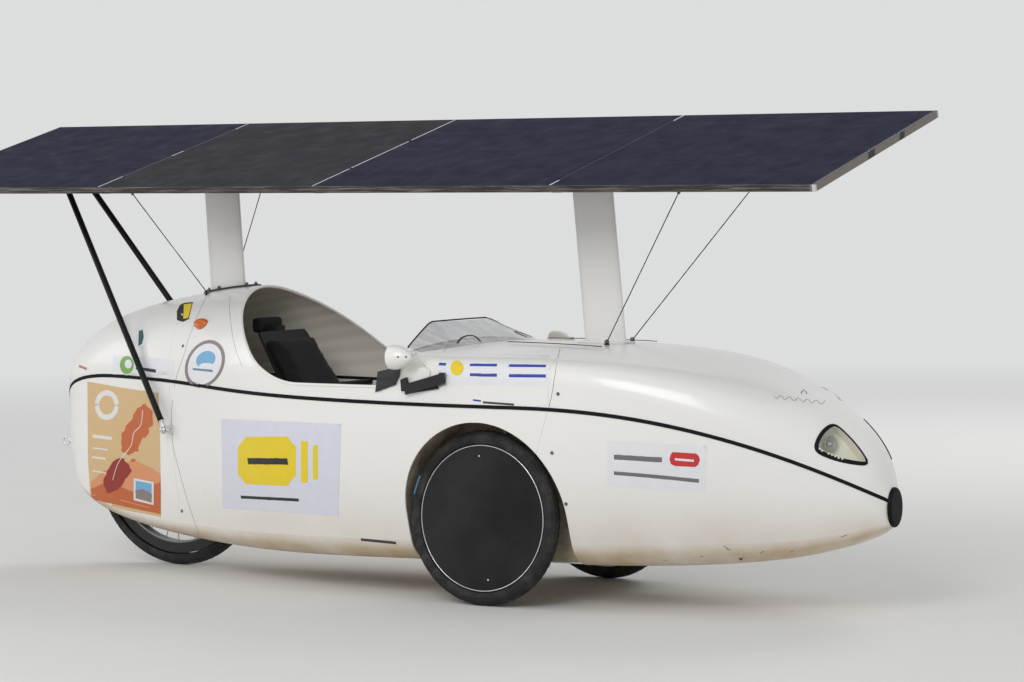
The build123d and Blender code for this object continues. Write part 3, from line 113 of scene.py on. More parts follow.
# Sizes shared by several pieces
joint_by_name = {joint["name"]: joint for joint in frame["joints"]}
ROOF_PLACE = Vector(joint_by_name["roof_tilt"]["pos_m"])
ROOF_TILT = math.radians(15.24)
ROOF_PITCH = math.radians(0.55)
ROOF_TOP = 0.0365
ROOF_HALF_WIDTH = 0.3828
ROOF_HALF_LENGTH = 1.6083
PANEL_PITCH = 0.803
FRONT_WHEEL_RADIUS = 0.2445
FRONT_TYRE_SECTION = 0.0225
FRONT_BEAD = 0.2075
REAR_WHEEL_RADIUS = 0.333
REAR_TYRE_SECTION = 0.0235
REAR_BEAD = 0.298
REAR_AXLE = (-0.844, 0.0, 0.333)
HUMP_CENTRE_HEIGHT = 0.55
SIDES = {"left": 1, "right": -1}
X_AXIS = Vector((1.0, 0.0, 0.0))
Y_AXIS = Vector((0.0, 1.0, 0.0))
Z_AXIS = Vector((0.0, 0.0, 1.0))
NO_TURN = Matrix.Identity(3)
TOUCHING = 0.00001


# Materials
class Graph:
    """Node tree with short ways to add nodes to it."""

    def __init__(self, tree):
        self.tree = tree

    def feed(self, socket, value):
        """Set a socket to a value, or link it to the socket that gives it."""
        if isinstance(value, bpy.types.NodeSocket):
            self.tree.links.new(value, socket)
        elif socket.type == "RGBA":
            socket.default_value = (*value, 1.0)
        else:
            socket.default_value = value

    def node(self, kind, inputs=None, **settings):
        made = self.tree.nodes.new("ShaderNode" + kind)
        for name, value in settings.items():
            setattr(made, name, value)
        for key, value in (inputs or {}).items():
            self.feed(made.inputs[key], value)
        return made

    def calc(self, operation, *values):
        return self.node("Math", dict(enumerate(values)), operation=operation).outputs["Value"]

    def times(self, product, *factors):
        for factor in factors:
            product = self.calc("MULTIPLY", product, factor)
        return product

    def ramp(self, value, low, high, low_out=0.0, high_out=1.0):
        """Value mapped from low..high to low_out..high_out, clamped."""
        inputs = {"Value": value, "From Min": low, "From Max": high, "To Min": low_out, "To Max": high_out}
        return self.node("MapRange", inputs).outputs["Result"]

    def mix(self, factor, first, second):
        """Colour between two colours, each a tuple or a socket."""
        made = self.node("Mix", {"Factor": factor}, data_type="RGBA")
        ends = [socket for socket in made.inputs if socket.type == "RGBA"]
        for socket, colour in zip(ends, (first, second)):
            self.feed(socket, colour)
        return [socket for socket in made.outputs if socket.type == "RGBA"][0]

    def split(self, vector):
        outputs = self.node("SeparateXYZ", {"Vector": vector}).outputs
        return outputs["X"], outputs["Y"], outputs["Z"]


class Paint(Graph):
    """Material with one Principled shader."""

    def __init__(self, name, colour, roughness, metallic=0.0, coat=0.0, alpha=1.0, sheen=0.0, specular=0.5):
        self.material = bpy.data.materials.new(name)
        self.material.use_nodes = True
        super().__init__(self.material.node_tree)
        self.shader = self.tree.nodes["Principled BSDF"]
        numbers = {
            "Base Color": colour, "Roughness": roughness, "Metallic": metallic, "Coat Weight": coat,
            "Coat Roughness": 0.08, "Alpha": alpha, "Sheen Weight": sheen, "Specular IOR Level": specular,
        }
        for key, value in numbers.items():
            self.feed(self.shader.inputs[key], value)
        self.place = self.node("TexCoord").outputs["Object"]

    def noise(self, scale, detail=3.0, roughness=0.55, at=None):
        place = self.place if at is None else at
        inputs = {"Vector": place, "Scale": scale, "Detail": detail, "Roughness": roughness}
        return self.node("TexNoise", inputs).outputs["Fac"]

    def stretched(self, rotation=(0.0, 0.0, 0.0), scale=(1.0, 1.0, 1.0)):
        inputs = {"Vector": self.place, "Rotation": rotation, "Scale": scale}
        return self.node("Mapping", inputs).outputs["Vector"]

    def shade(self, colour, scale, amount):
        """The colour, gently lighter and darker in patches."""
        low = tuple(channel * (1.0 - amount) for channel in colour)
        high = tuple(min(1.0, channel * (1.0 + amount)) for channel in colour)
        return self.mix(self.noise(scale), low, high)

    def base(self, colour):
        self.feed(self.shader.inputs["Base Color"], colour)

    def rough(self, roughness):
        self.feed(self.shader.inputs["Roughness"], roughness)

    def bump(self, height, strength, distance):
        inputs = {"Height": height, "Strength": strength, "Distance": distance}
        self.feed(self.shader.inputs["Normal"], self.node("Bump", inputs).outputs["Normal"])


def speckled(name, colour, roughness, scale=40.0, amount=0.12, grain=0.0, **options):
    """One colour with soft patches and, where grain is set, a fine rough surface."""
    paint = Paint(name, colour, roughness, **options)
    paint.base(paint.shade(colour, scale, amount))
    patches = paint.noise(scale * 1.7, 4.0)
    paint.rough(paint.ramp(patches, 0.3, 0.7, roughness * 0.85, min(1.0, roughness * 1.15)))
    if grain:
        paint.bump(paint.noise(600.0, 2.0), grain, 0.0006)
    return paint.material


def body_material():
    """White gel coat: beige low down on surfaces that face down, partly dust and partly painted shade, faint
    waves in the moulding, warm ribbed lining inside the hump with painted shade in stripes along its ribs.
    """
    paint = Paint("white_gel_coat", BODY_WHITE, 0.28, coat=0.35)
    x, y, z = paint.split(paint.place)
    _, normal_y, normal_z = paint.split(paint.node("NewGeometry").outputs["Normal"])
    # Beige on surfaces that face down low on the body: painted shade mixed with dust, in patches, and fine
    # dust specks near the ground.
    downward = paint.ramp(normal_z, -0.66, -0.14, 1.0, 0.0)
    belly = paint.ramp(z, 0.2, 0.42, 1.0, 0.0)
    patches = paint.ramp(paint.noise(5.0, 6.0), 0.3, 0.62, 0.35, 0.9)
    specks = paint.ramp(paint.noise(160.0, 2.0), 0.70, 0.74, 0.0, 0.35)
    low_zone = paint.ramp(z, 0.15, 0.4, 1.0, 0.0)
    dust_and_shade = paint.calc("MAXIMUM", paint.times(downward, belly, patches), paint.times(specks, low_zone))
    painted = paint.mix(dust_and_shade, paint.shade(BODY_WHITE, 2.4, 0.025), DUST_AND_SHADE)
    height = paint.calc("SUBTRACT", z, HUMP_CENTRE_HEIGHT)
    outward = paint.calc("ADD", paint.times(normal_y, y), paint.times(normal_z, height))
    ahead = paint.ramp(x, 0.75, 0.8, 1.0, 0.0)
    behind = paint.ramp(x, -0.76, -0.72)
    inside = paint.times(paint.ramp(outward, -0.03, -0.06), ahead, behind)
    # Darker stripes on the lining along the ribs are painted shade.
    ribs = paint.calc("SINE", paint.times(paint.calc("ARCTAN2", y, height), 44.0))
    rib_shade = paint.ramp(ribs, -1.0, 1.0, 0.0, 0.35)
    lining = paint.mix(rib_shade, LINING, tuple(channel * 0.72 for channel in LINING))
    paint.base(paint.mix(inside, painted, lining))
    paint.rough(paint.ramp(dust_and_shade, 0.0, 1.0, 0.26, 0.6))
    relief = paint.calc("ADD", paint.noise(3.2, 2.0), paint.times(paint.noise(220.0, 2.0), 0.012))
    paint.bump(paint.calc("ADD", relief, paint.times(ribs, inside, 0.25)), 0.35, 0.006)
    return paint.material


def panel_material():
    """Dark blue solar cells in a fine grid along the tilted panels; one panel greyer; black below."""
    paint = Paint("solar_cells", CELL_BLUE, 0.5, specular=0.02)
    turn = {"Vector": paint.place, "Location": ROOF_PLACE, "Rotation": (ROOF_TILT, ROOF_PITCH, 0.0)}
    x, y, z = paint.split(paint.node("Mapping", turn, vector_type="TEXTURE").outputs["Vector"])

    def lines(across, pitch, width):
        phase = paint.calc("FRACT", paint.calc("DIVIDE", paint.calc("ADD", across, 40.0), pitch))
        centred = paint.calc("ABSOLUTE", paint.calc("SUBTRACT", phase, 0.5))
        return paint.ramp(centred, 0.5 - width / pitch / 2, 0.5 - width / pitch / 4)

    cells = paint.calc("MAXIMUM", lines(x, 0.1315, 0.0022), lines(y, 0.1265, 0.0022))
    grid = paint.calc("MAXIMUM", cells, paint.times(lines(y, 0.0211, 0.0007), 0.45))
    greyer = paint.times(paint.ramp(x, -0.8035, -0.8025), paint.ramp(x, -0.0005, 0.0005, 1.0, 0.0), 0.8)
    tone = paint.mix(greyer, paint.shade(CELL_BLUE, 5.0, 0.03), CELL_GREY)
    top = paint.mix(paint.times(grid, 0.75), tone, CELL_LINE)
    paint.base(paint.mix(paint.ramp(z, 0.02, 0.024, 1.0, 0.0), top, BACK_SHEET))
    paint.rough(paint.ramp(paint.noise(14.0, 6.0), 0.3, 0.75, 0.42, 0.6))
    paint.bump(grid, 0.2, 0.0003)
    return paint.material


def tyre_material():
    """Worn rubber with dust in patches."""
    paint = Paint("tyre_rubber", TYRE_BLACK, 0.7, specular=LOW_GLOSS)
    patches = paint.ramp(paint.noise(26.0, 5.0), 0.45, 0.8, 0.0, 0.7)
    paint.base(paint.mix(patches, TYRE_BLACK, (0.09, 0.085, 0.078)))
    paint.bump(paint.noise(900.0, 2.0), 0.35, 0.0004)
    return paint.material


def disc_material():
    """Thin black plastic disc: glossy, slightly buckled, scuffed with dust."""
    paint = Paint("black_disc", BLACK, 0.2, specular=0.28)
    scuffs = paint.ramp(paint.noise(34.0, 8.0, 0.7), 0.55, 0.9, 0.0, 0.22)
    cloudy = paint.ramp(paint.noise(3.5, 3.0), 0.42, 0.68)
    plain = paint.mix(cloudy, (0.006, 0.006, 0.0062), (0.02, 0.0197, 0.021))
    paint.base(paint.mix(scuffs, plain, (0.05, 0.046, 0.04)))
    paint.rough(paint.ramp(scuffs, 0.0, 0.55, 0.16, 0.5))
    paint.bump(paint.noise(7.0, 2.0), 0.35, 0.01)
    return paint.material


def woven_material(name, colour, pitch, roughness, sheen):
    """Cloth or laminate with a plain weave."""
    paint = Paint(name, colour, roughness, sheen=sheen, specular=LOW_GLOSS)
    turned_place = paint.stretched(rotation=(0.6, 0.4, 0.5))
    turns = 2 * math.pi / pitch
    waves = [paint.calc("SINE", paint.times(part, turns)) for part in paint.split(turned_place)]
    weave = paint.times(*waves)
    light = tuple(min(1.0, channel * 2.0 + 0.003) for channel in colour)
    paint.base(paint.mix(paint.ramp(weave, -0.5, 0.8), colour, light))
    paint.bump(weave, 0.5, 0.0008)
    return paint.material


def lens_material():
    paint = Paint("clear_lens", (0.85, 0.86, 0.82), 0.05, alpha=0.13, coat=0.5)
    paint.rough(paint.ramp(paint.noise(30.0, 4.0), 0.4, 0.8, 0.04, 0.22))
    paint.base(paint.shade((0.85, 0.86, 0.82), 12.0, 0.06))
    paint.material.surface_render_method = "BLENDED"
    return paint.material


def screen_material():
    """Clear bubble with long streaks painted pale as highlights, and greyer at grazing angles as a painted
    reflection.
    """
    paint = Paint("clear_screen", (0.3, 0.31, 0.33), 0.06, coat=0.4)
    lines = paint.noise(2.2, 4.0, 0.6, paint.stretched((0.0, 0.3, -0.35), (1.5, 26.0, 10.0)))
    streaks = paint.ramp(lines, 0.5, 0.62)
    # Pale colour of the streaks is a painted highlight.
    paint.base(paint.mix(streaks, (0.16, 0.17, 0.19), (0.72, 0.71, 0.68)))
    facing = paint.node("LayerWeight", {"Blend": 0.35}).outputs["Facing"]
    # Opacity that rises at grazing angles is a painted reflection.
    grazing = paint.ramp(facing, 0.1, 0.9, 0.12, 0.5)
    paint.feed(paint.shader.inputs["Alpha"], paint.calc("MAXIMUM", grazing, paint.times(streaks, 0.45)))
    paint.material.surface_render_method = "BLENDED"
    return paint.material


def smoked_film():
    """Dark film that a little light passes through."""
    paint = Paint("smoked_film", FILM_DARK, 0.25, alpha=0.78)
    paint.base(paint.shade(FILM_DARK, 30.0, 0.4))
    paint.bump(paint.noise(60.0, 3.0), 0.4, 0.002)
    paint.material.surface_render_method = "BLENDED"
    return paint.material


def worn_edge_material():
    """Black frame edge of the roof with pale scratches, and bare metal with two dark sections in front."""
    paint = Paint("worn_roof_edge", (0.03, 0.028, 0.027), 0.5, specular=0.3)
    lines = paint.noise(4.0, 5.0, 0.75, paint.stretched(scale=(1.6, 60.0, 60.0)))
    streaks = paint.ramp(lines, 0.47, 0.68, 0.0, 0.75)
    x, y, _ = paint.split(paint.place)
    edge = paint.mix(streaks, (0.03, 0.026, 0.025), (0.3, 0.27, 0.24))
    bare = paint.mix(streaks, (0.2, 0.178, 0.15), (0.3, 0.27, 0.23))
    for low, high in ((-0.075, -0.03), (0.115, 0.15)):
        band = paint.times(paint.ramp(y, low, low + 0.004), paint.ramp(y, high - 0.004, high, 1.0, 0.0))
        bare = paint.mix(band, bare, EDGE_DARK)
    paint.base(paint.mix(paint.ramp(x, 1.568, 1.574), edge, bare))
    paint.bump(streaks, 0.3, 0.0006)
    return paint.material


def well_material():
    """Inside of a wheel arch: pale laminate gone beige, with dirt thrown up by the wheel."""
    paint = Paint("arch_lining", (0.42, 0.37, 0.28), 0.75)
    dirt = paint.ramp(paint.noise(16.0, 7.0, 0.65), 0.35, 0.7, 0.1, 0.95)
    paint.base(paint.mix(dirt, (0.62, 0.54, 0.4), (0.2, 0.165, 0.12)))
    paint.bump(paint.noise(120.0, 4.0), 0.4, 0.001)
    return paint.material


def foot_material():
    """Foot plates of the masts: white like the deck at the front, black paint at the rear."""
    paint = Paint("mast_foot", BODY_WHITE, 0.4)
    x, _, _ = paint.split(paint.place)
    dark = paint.shade((0.02, 0.02, 0.021), 50.0, 0.3)
    light = paint.shade(BODY_WHITE, 6.0, 0.04)
    paint.base(paint.mix(paint.ramp(x, 0.0, 0.1), dark, light))
    paint.bump(paint.noise(300.0, 2.0), 0.1, 0.0004)
    return paint.material


def rim_material():
    """Rear wheel: black rim, bare spokes and hub."""
    paint = Paint("rear_rim", STEEL, 0.35)
    inputs = {0: paint.place, 1: REAR_AXLE}
    from_axle = paint.node("VectorMath", inputs, operation="DISTANCE").outputs["Value"]
    black = paint.shade((0.012, 0.012, 0.013), 40.0, 0.3)
    bare = paint.shade((0.3, 0.3, 0.31), 60.0, 0.15)
    paint.base(paint.mix(paint.ramp(from_axle, 0.262, 0.266), bare, black))
    paint.bump(paint.noise(300.0, 2.0), 0.1, 0.0004)
    return paint.material


def floor_material():
    """Pale floor that keeps the object's shadow and runs into the backdrop further out."""
    paint = Paint("floor", FLOOR, 0.9, specular=0.1)
    paint.base(paint.shade(FLOOR, 3.0, 0.02))
    reach = paint.node("VectorMath", {0: paint.place}, operation="LENGTH").outputs["Value"]
    seen = paint.node("LightPath").outputs["Is Camera Ray"]
    far = paint.times(paint.ramp(reach, 3.0, 11.0), seen)
    glow = paint.node("Emission", {"Color": BACKDROP}).outputs["Emission"]
    both = paint.node("MixShader", {"Fac": far, 1: paint.shader.outputs["BSDF"], 2: glow})
    paint.feed(paint.tree.nodes["Material Output"].inputs["Surface"], both.outputs["Shader"])
    return paint.material


materials = {
    "body_white": body_material(),
    "black_rubber": speckled("seam_rubber", RUBBER, 0.6, 60.0, 0.3, 0.2, specular=LOW_GLOSS),
    "black_plastic": speckled("black_plastic", BLACK, 0.5, 30.0, 0.25, 0.3, specular=LOW_GLOSS),
    "clear_lens": lens_material(),
    "clear_screen": screen_material(),
    "lamp_silver": speckled("lamp_bowl", (0.86, 0.84, 0.7), 0.35, 18.0, 0.1),
    "tyre": tyre_material(),
    "wheel_metal": speckled("wheel_alloy", ALUMINIUM, 0.35, 50.0, 0.1, metallic=0.9),
    "black_disc": disc_material(),
    "steel": speckled("steel", STEEL, 0.35, 60.0, 0.15, 0.1, metallic=0.95),
    "aluminium": speckled("aluminium", ALUMINIUM, 0.4, 60.0, 0.12, 0.1, metallic=0.9),
    "frame_black": speckled("black_paint", (0.014, 0.014, 0.015), 0.33, 40.0, 0.3, 0.08, specular=LOW_GLOSS),
    "solar_blue": panel_material(),
    "cord_black": speckled("cord", (0.02, 0.02, 0.02), 0.8, 400.0, 0.4, 0.4, specular=LOW_GLOSS),
    "carbon_black": woven_material("seat_laminate", (0.012, 0.012, 0.013), 0.004, 0.3, 0.0),
    "seat_fabric": woven_material("seat_mesh", (0.009, 0.009, 0.0095), 0.003, 0.75, 0.05),
    "mirror": speckled("mirror_glass", (0.75, 0.77, 0.78), 0.03, 20.0, 0.02, metallic=1.0),
    "chrome": speckled("chrome", (0.62, 0.62, 0.62), 0.12, 30.0, 0.05, metallic=1.0),
    "amber_lens": speckled("amber_lens", AMBER, 0.22, 60.0, 0.3, coat=0.5),
}
slot_of = {part["node"]: part["material_slot"] for part in frame["record"]["subparts"]}
own_finish = {
    "roof_edge": worn_edge_material(),
    "wheel_wells": well_material(),
    "mast_feet": foot_material(),
    "rear_wheel": rim_material(),
}
for node_name, node in nodes.items():
    node.data.materials.clear()
    node.data.materials.append(own_finish.get(node_name, materials[slot_of[node_name]]))

white_paint = materials["body_white"]
screw_metal = speckled("screw_metal", (0.14, 0.14, 0.14), 0.4, 200.0, 0.3, metallic=0.7)
bright_metal = speckled("bright_metal", (0.72, 0.72, 0.72), 0.3, 200.0, 0.12, metallic=0.85)
pale_seam = speckled("pale_seam", (0.6, 0.6, 0.62), 0.45, 60.0, 0.2)
dull_seam = speckled("dull_seam", (0.09, 0.09, 0.1), 0.6, 60.0, 0.3)
faint_seam = speckled("faint_seam", (0.028, 0.028, 0.034), 0.6, 60.0, 0.3)
lamp_grey = speckled("lamp_dish", (0.3, 0.29, 0.27), 0.4, 60.0, 0.15)
tape = speckled("black_tape", BLACK, 0.55, 120.0, 0.4, 0.4)
grey_tape = speckled("grey_tape", (0.3, 0.3, 0.31), 0.55, 120.0, 0.2, 0.3)

FILM_COLOURS = {
    "sand_film": (0.68, 0.47, 0.24),
    "terracotta_film": (0.55, 0.13, 0.035),
    "orange_film": (0.72, 0.3, 0.14),
    "dark_red_film": (0.3, 0.025, 0.015),
    "card_film": (0.7, 0.71, 0.79),
    "pale_film": (0.78, 0.76, 0.72),
    "yellow_film": (0.83, 0.62, 0.02),
    "sky_film": (0.18, 0.42, 0.66),
    "blue_film": (0.03, 0.06, 0.4),
    "red_film": (0.6, 0.03, 0.03),
    "green_film": (0.2, 0.42, 0.08),
    "dark_green_film": (0.02, 0.12, 0.09),
    "grey_brown_film": (0.25, 0.21, 0.2),
    "soft_white_film": (0.8, 0.8, 0.84),
    "badge_line": (0.12, 0.22, 0.3),
    "swirl_grey": (0.3, 0.3, 0.3),
    "rose_film": (0.5, 0.2, 0.22),
    "deck_film": (0.8, 0.8, 0.83),
    "nose_card_film": (0.8, 0.8, 0.82),
    "grey_ink": (0.16, 0.16, 0.17),
    "scribble_blue": (0.16, 0.24, 0.28),
    "scribble_teal": (0.02, 0.25, 0.32),
    "tyre_blue": (0.13, 0.36, 0.62),
    "black_film": (0.02, 0.02, 0.021),
    "joint_shadow": (0.05, 0.048, 0.045),
    "scratch_brown": (0.2, 0.13, 0.075),
    "sealant": (0.7, 0.68, 0.6),
}
FILM_ROUGHNESS = {"black_film": 0.45, "joint_shadow": 0.7, "scratch_brown": 0.7, "sealant": 0.6}
films = {
    name: speckled(name, colour, FILM_ROUGHNESS.get(name, 0.38), 30.0, 0.05)
    for name, colour in FILM_COLOURS.items()
}


# Meshes
def mesh_object(name, points, faces, material, smooth=False):
    mesh = bpy.data.meshes.new(name)
    mesh.from_pydata([tuple(point) for point in points], [], faces)
    mesh.materials.append(material)
    if smooth:
        mesh.polygons.foreach_set("use_smooth", [True] * len(mesh.polygons))
    made = bpy.data.objects.new(name, mesh)
    bpy.context.scene.collection.objects.link(made)
    return made


def add(made, slot=None, *replaced, body="chassis"):
    """Let a piece ride on a body and stand for CAD nodes, which it hides; the slot is not used."""
    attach(made, body)
    if replaced:
        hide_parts(*replaced)
    return made


def grid_faces(rows, columns, base=0, ring_rows=False, ring_columns=False):
    """Faces of a grid of points given row by row; a ring also joins its last to its first."""
    faces = []
    for row in range(rows if ring_rows else rows - 1):
        low = base + row * columns
        high = base + (row + 1) % rows * columns
        for column in range(columns if ring_columns else columns - 1):
            beside = (column + 1) % columns
            faces.append([low + column, low + beside, high + beside, high + column])
    return faces


def face_outward(made, merge=0.0):
    """Turn all faces outward, with points closer than the merge distance joined first."""
    shape = bmesh.new()
    shape.from_mesh(made.data)
    if merge:
        bmesh.ops.remove_doubles(shape, verts=shape.verts[:], dist=merge)
    bmesh.ops.recalc_face_normals(shape, faces=shape.faces[:])
    shape.to_mesh(made.data)
    shape.free()


def mirrored(point):
    return Vector((point.x, -point.y, point.z))


def both_sides(place, normal):
    return [(place, normal), (mirrored(place), mirrored(normal))]


def neighbours(line, index, closed):
    """Items before and after one of a line; its ends stand for themselves unless it is closed."""
    count = len(line)
    before = line[(index - 1) % count if closed else max(index - 1, 0)]
    after = line[(index + 1) % count if closed else min(index + 1, count - 1)]
    return before, after


def smooth_route(route, step, closed=False):
    """Points on a smooth curve through the route's points, a step apart."""
    route = [Vector(point) for point in route]
    count = len(route)
    points = []
    for index in range(count if closed else count - 1):
        a = route[(index - 1) % count] if closed or index else route[0]
        b = route[index]
        c = route[(index + 1) % count]
        d = route[(index + 2) % count] if closed or index + 2 < count else route[-1]
        parts = max(1, round((c - b).length / step))
        for part in range(parts):
            t = part / parts
            points.append(0.5 * (
                2 * b + (c - a) * t + (2 * a - 5 * b + 4 * c - d) * t * t + (3 * b - a - 3 * c + d) * t ** 3
            ))
    if not closed:
        points.append(route[-1])
    return points


def axis_frame(axis):
    """The axis at length 1, and two directions square to it."""
    axis = Vector(axis).normalized()
    helper = Z_AXIS if abs(axis.z) < 0.9 else X_AXIS
    first = axis.cross(helper).normalized()
    return axis, first, axis.cross(first)


def on_circle(first, second, step, steps):
    angle = 2 * math.pi * step / steps
    return first * math.cos(angle) + second * math.sin(angle)


def turned(name, profile, places, material, segments=24, smooth=True):
    """Turned pieces of one profile of radii and heights, each about its own axis, as one mesh."""
    points, faces = [], []
    for place, axis in places:
        along, first, second = axis_frame(axis)
        faces += grid_faces(len(profile), segments, len(points), ring_columns=True)
        for radius, height in profile:
            for segment in range(segments):
                rim = on_circle(first, second, segment, segments)
                points.append(Vector(place) + along * height + rim * radius)
    made = mesh_object(name, points, faces, material, smooth=smooth)
    face_outward(made, TOUCHING)
    return made


def tube(name, routes, radius, material, segments=12, closed=False, step=0.01, wobble=0.0):
    """Round tubes along smooth routes, as one mesh; the radius may be a function of the share along."""
    points, faces = [], []
    for route in routes:
        line = smooth_route(route, step, closed)
        count = len(line)
        first = None
        base = len(points)
        for index, place in enumerate(line):
            before, after = neighbours(line, index, closed)
            along = (after - before).normalized()
            if first is None:
                _, first, _ = axis_frame(along)
            first = (first - along * first.dot(along)).normalized()
            second = along.cross(first)
            size = radius(index / max(count - 1, 1)) if callable(radius) else radius
            for segment in range(segments):
                rim = on_circle(first, second, segment, segments)
                rough = 1.0 + wobble * noise.noise(place * 90.0 + rim * 2.0) if wobble else 1.0
                points.append(place + rim * size * rough)
        faces += grid_faces(count, segments, base, closed, True)
        if not closed:
            last = base + (count - 1) * segments
            faces.append([base + segment for segment in reversed(range(segments))])
            faces.append([last + segment for segment in range(segments)])
    return mesh_object(name, points, faces, material, smooth=True)


def block(name, places, size, material, rounding, body="chassis"):
    """Rounded blocks at places with their own axes, as one mesh."""
    whole = bmesh.new()
    for place, turn in places:
        part = bmesh.new()
        bmesh.ops.create_cube(part, size=1.0)
        bmesh.ops.scale(part, vec=size, verts=part.verts[:])
        bmesh.ops.bevel(part, geom=part.edges[:], offset=rounding, segments=3, profile=0.5, affect="EDGES")
        bmesh.ops.transform(part, matrix=Matrix.Translation(place) @ turn.to_4x4(), verts=part.verts[:])
        mesh = bpy.data.meshes.new("part")
        part.to_mesh(mesh)
        part.free()
        whole.from_mesh(mesh)
        bpy.data.meshes.remove(mesh)
    made = mesh_object(name, [], [], material)
    whole.to_mesh(made.data)
    whole.free()
    made.data.polygons.foreach_set("use_smooth", [False] * len(made.data.polygons))
    return add(made, body=body)


def box_corners(node_name):
    low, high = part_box(node_name)
    return Vector(low), Vector(high)


def islands(node_name):
    """Boxes of a node's separate pieces, from the rear forward."""
    shape = bmesh.new()
    shape.from_mesh(nodes[node_name].data)
    bmesh.ops.remove_doubles(shape, verts=shape.verts[:], dist=TOUCHING)
    seen, boxes = set(), []
    for start in shape.verts:
        if start.index in seen:
            continue
        stack, places = [start], []
        seen.add(start.index)
        while stack:
            here = stack.pop()
            places.append(here.co.copy())
            for edge in here.link_edges:
                other = edge.other_vert(here)
                if other.index not in seen:
                    seen.add(other.index)
                    stack.append(other)
        low = Vector([min(place[axis] for place in places) for axis in range(3)])
        high = Vector([max(place[axis] for place in places) for axis in range(3)])
        boxes.append((low, high))
    shape.free()
    return sorted(boxes, key=lambda box: (round(box[0].x, 3), box[0].y))


# Camera and light
def camera_axes():
    """Right, up and forward of the camera."""
    cos_a, sin_a = math.cos(CAMERA_AZIMUTH), math.sin(CAMERA_AZIMUTH)
    cos_p, sin_p = math.cos(CAMERA_PITCH), math.sin(CAMERA_PITCH)
    forward = Vector((-sin_a * cos_p, cos_a * cos_p, -sin_p))
    right = Vector((cos_a, sin_a, 0.0))
    up = right.cross(forward)
    rolled_right = math.cos(CAMERA_ROLL) * right + math.sin(CAMERA_ROLL) * up
    rolled_up = math.cos(CAMERA_ROLL) * up - math.sin(CAMERA_ROLL) * right
    return rolled_right, rolled_up, forward


RIGHT, UP, FORWARD = camera_axes()


def camera():
    data = bpy.data.cameras.new("camera")
    data.sensor_width = SENSOR_WIDTH
    data.lens = FOCAL_PIXELS * SENSOR_WIDTH / PHOTO_WIDTH
    data.clip_end = 200.0
    looker = bpy.data.objects.new("camera", data)
    bpy.context.scene.collection.objects.link(looker)
    turn = Matrix((RIGHT, UP, -FORWARD)).transposed().to_4x4()
    looker.matrix_world = Matrix.Translation(CAMERA_PLACE) @ turn
    bpy.context.scene.camera = looker


LAMPS = {
    # name: (place, size, power)
    "key_lamp": ((1.5, -6.5, 4.6), 3.6, 190.0),
    "fill_lamp": ((-5.0, -3.0, 2.6), 3.0, 45.0),
    "back_lamp": ((0.5, 6.5, 4.5), 3.6, 150.0),
}
LAMP_AIM = Vector((0.0, 0.0, 0.5))
FLOOR_REACH = 60


def lights():
    """Soft lamps, a pale floor, and a world that looks like a pale backdrop past the object."""
    world = bpy.data.worlds.new("studio")
    bpy.context.scene.world = world
    world.use_nodes = True
    graph = Graph(world.node_tree)
    soft = graph.tree.nodes["Background"]
    graph.feed(soft.inputs["Color"], SKYLIGHT)
    graph.feed(soft.inputs["Strength"], 0.62)
    backdrop = graph.node("Background", {"Color": BACKDROP, "Strength": 1.0}).outputs["Background"]
    path = graph.node("LightPath").outputs
    seen = graph.calc("MAXIMUM", path["Is Camera Ray"], path["Is Transmission Ray"])
    seen = graph.calc("MAXIMUM", seen, path["Is Glossy Ray"])
    both = graph.node("MixShader", {"Fac": seen, 1: soft.outputs["Background"], 2: backdrop})
    graph.feed(graph.tree.nodes["World Output"].inputs["Surface"], both.outputs["Shader"])
    for name, (place, size, power) in LAMPS.items():
        lamp = bpy.data.lights.new(name, "AREA")
        lamp.size = size
        lamp.energy = power
        lamp_object = bpy.data.objects.new(name, lamp)
        lamp_object.location = place
        lamp_object.visible_glossy = name != "back_lamp"
        lamp_object.rotation_euler = (LAMP_AIM - Vector(place)).to_track_quat("-Z", "Y").to_euler()
        bpy.context.scene.collection.objects.link(lamp_object)
    corners = [(x * FLOOR_REACH, y * FLOOR_REACH, 0) for x, y in ((-1, -1), (1, -1), (1, 1), (-1, 1))]
    floor = mesh_object("floor", corners, [(0, 1, 2, 3)], floor_material())


camera()
lights()


# Places on the object behind points of the photograph
def merged_tree(names):
    """Search tree over the meshes of several CAD nodes."""
    points, faces = [], []
    for name in names:
        mesh = nodes[name].data
        base = len(points)
        points.extend(vertex.co.copy() for vertex in mesh.vertices)
        faces.extend([base + index for index in polygon.vertices] for polygon in mesh.polygons)
    return BVHTree.FromPolygons(points, faces)


SHELLS = ["nose_upper", "middle_upper", "tail_upper", "nose_lower", "middle_lower", "tail_lower"]
BESIDE = ((-1.6, 0.0), (1.6, 0.0), (0.0, -1.6), (0.0, 1.6))
CLEARLY_NEARER = 0.03
shell_tree = merged_tree(SHELLS)
nose_tree = merged_tree(["nose_upper", "headlight_lenses"])


def sight(px, py):
    """Direction of the sight line through a point of the photograph."""
    aside, above = px - PHOTO_CENTRE[0], PHOTO_CENTRE[1] - py
    return (FORWARD * FOCAL_PIXELS + RIGHT * aside + UP * above).normalized()


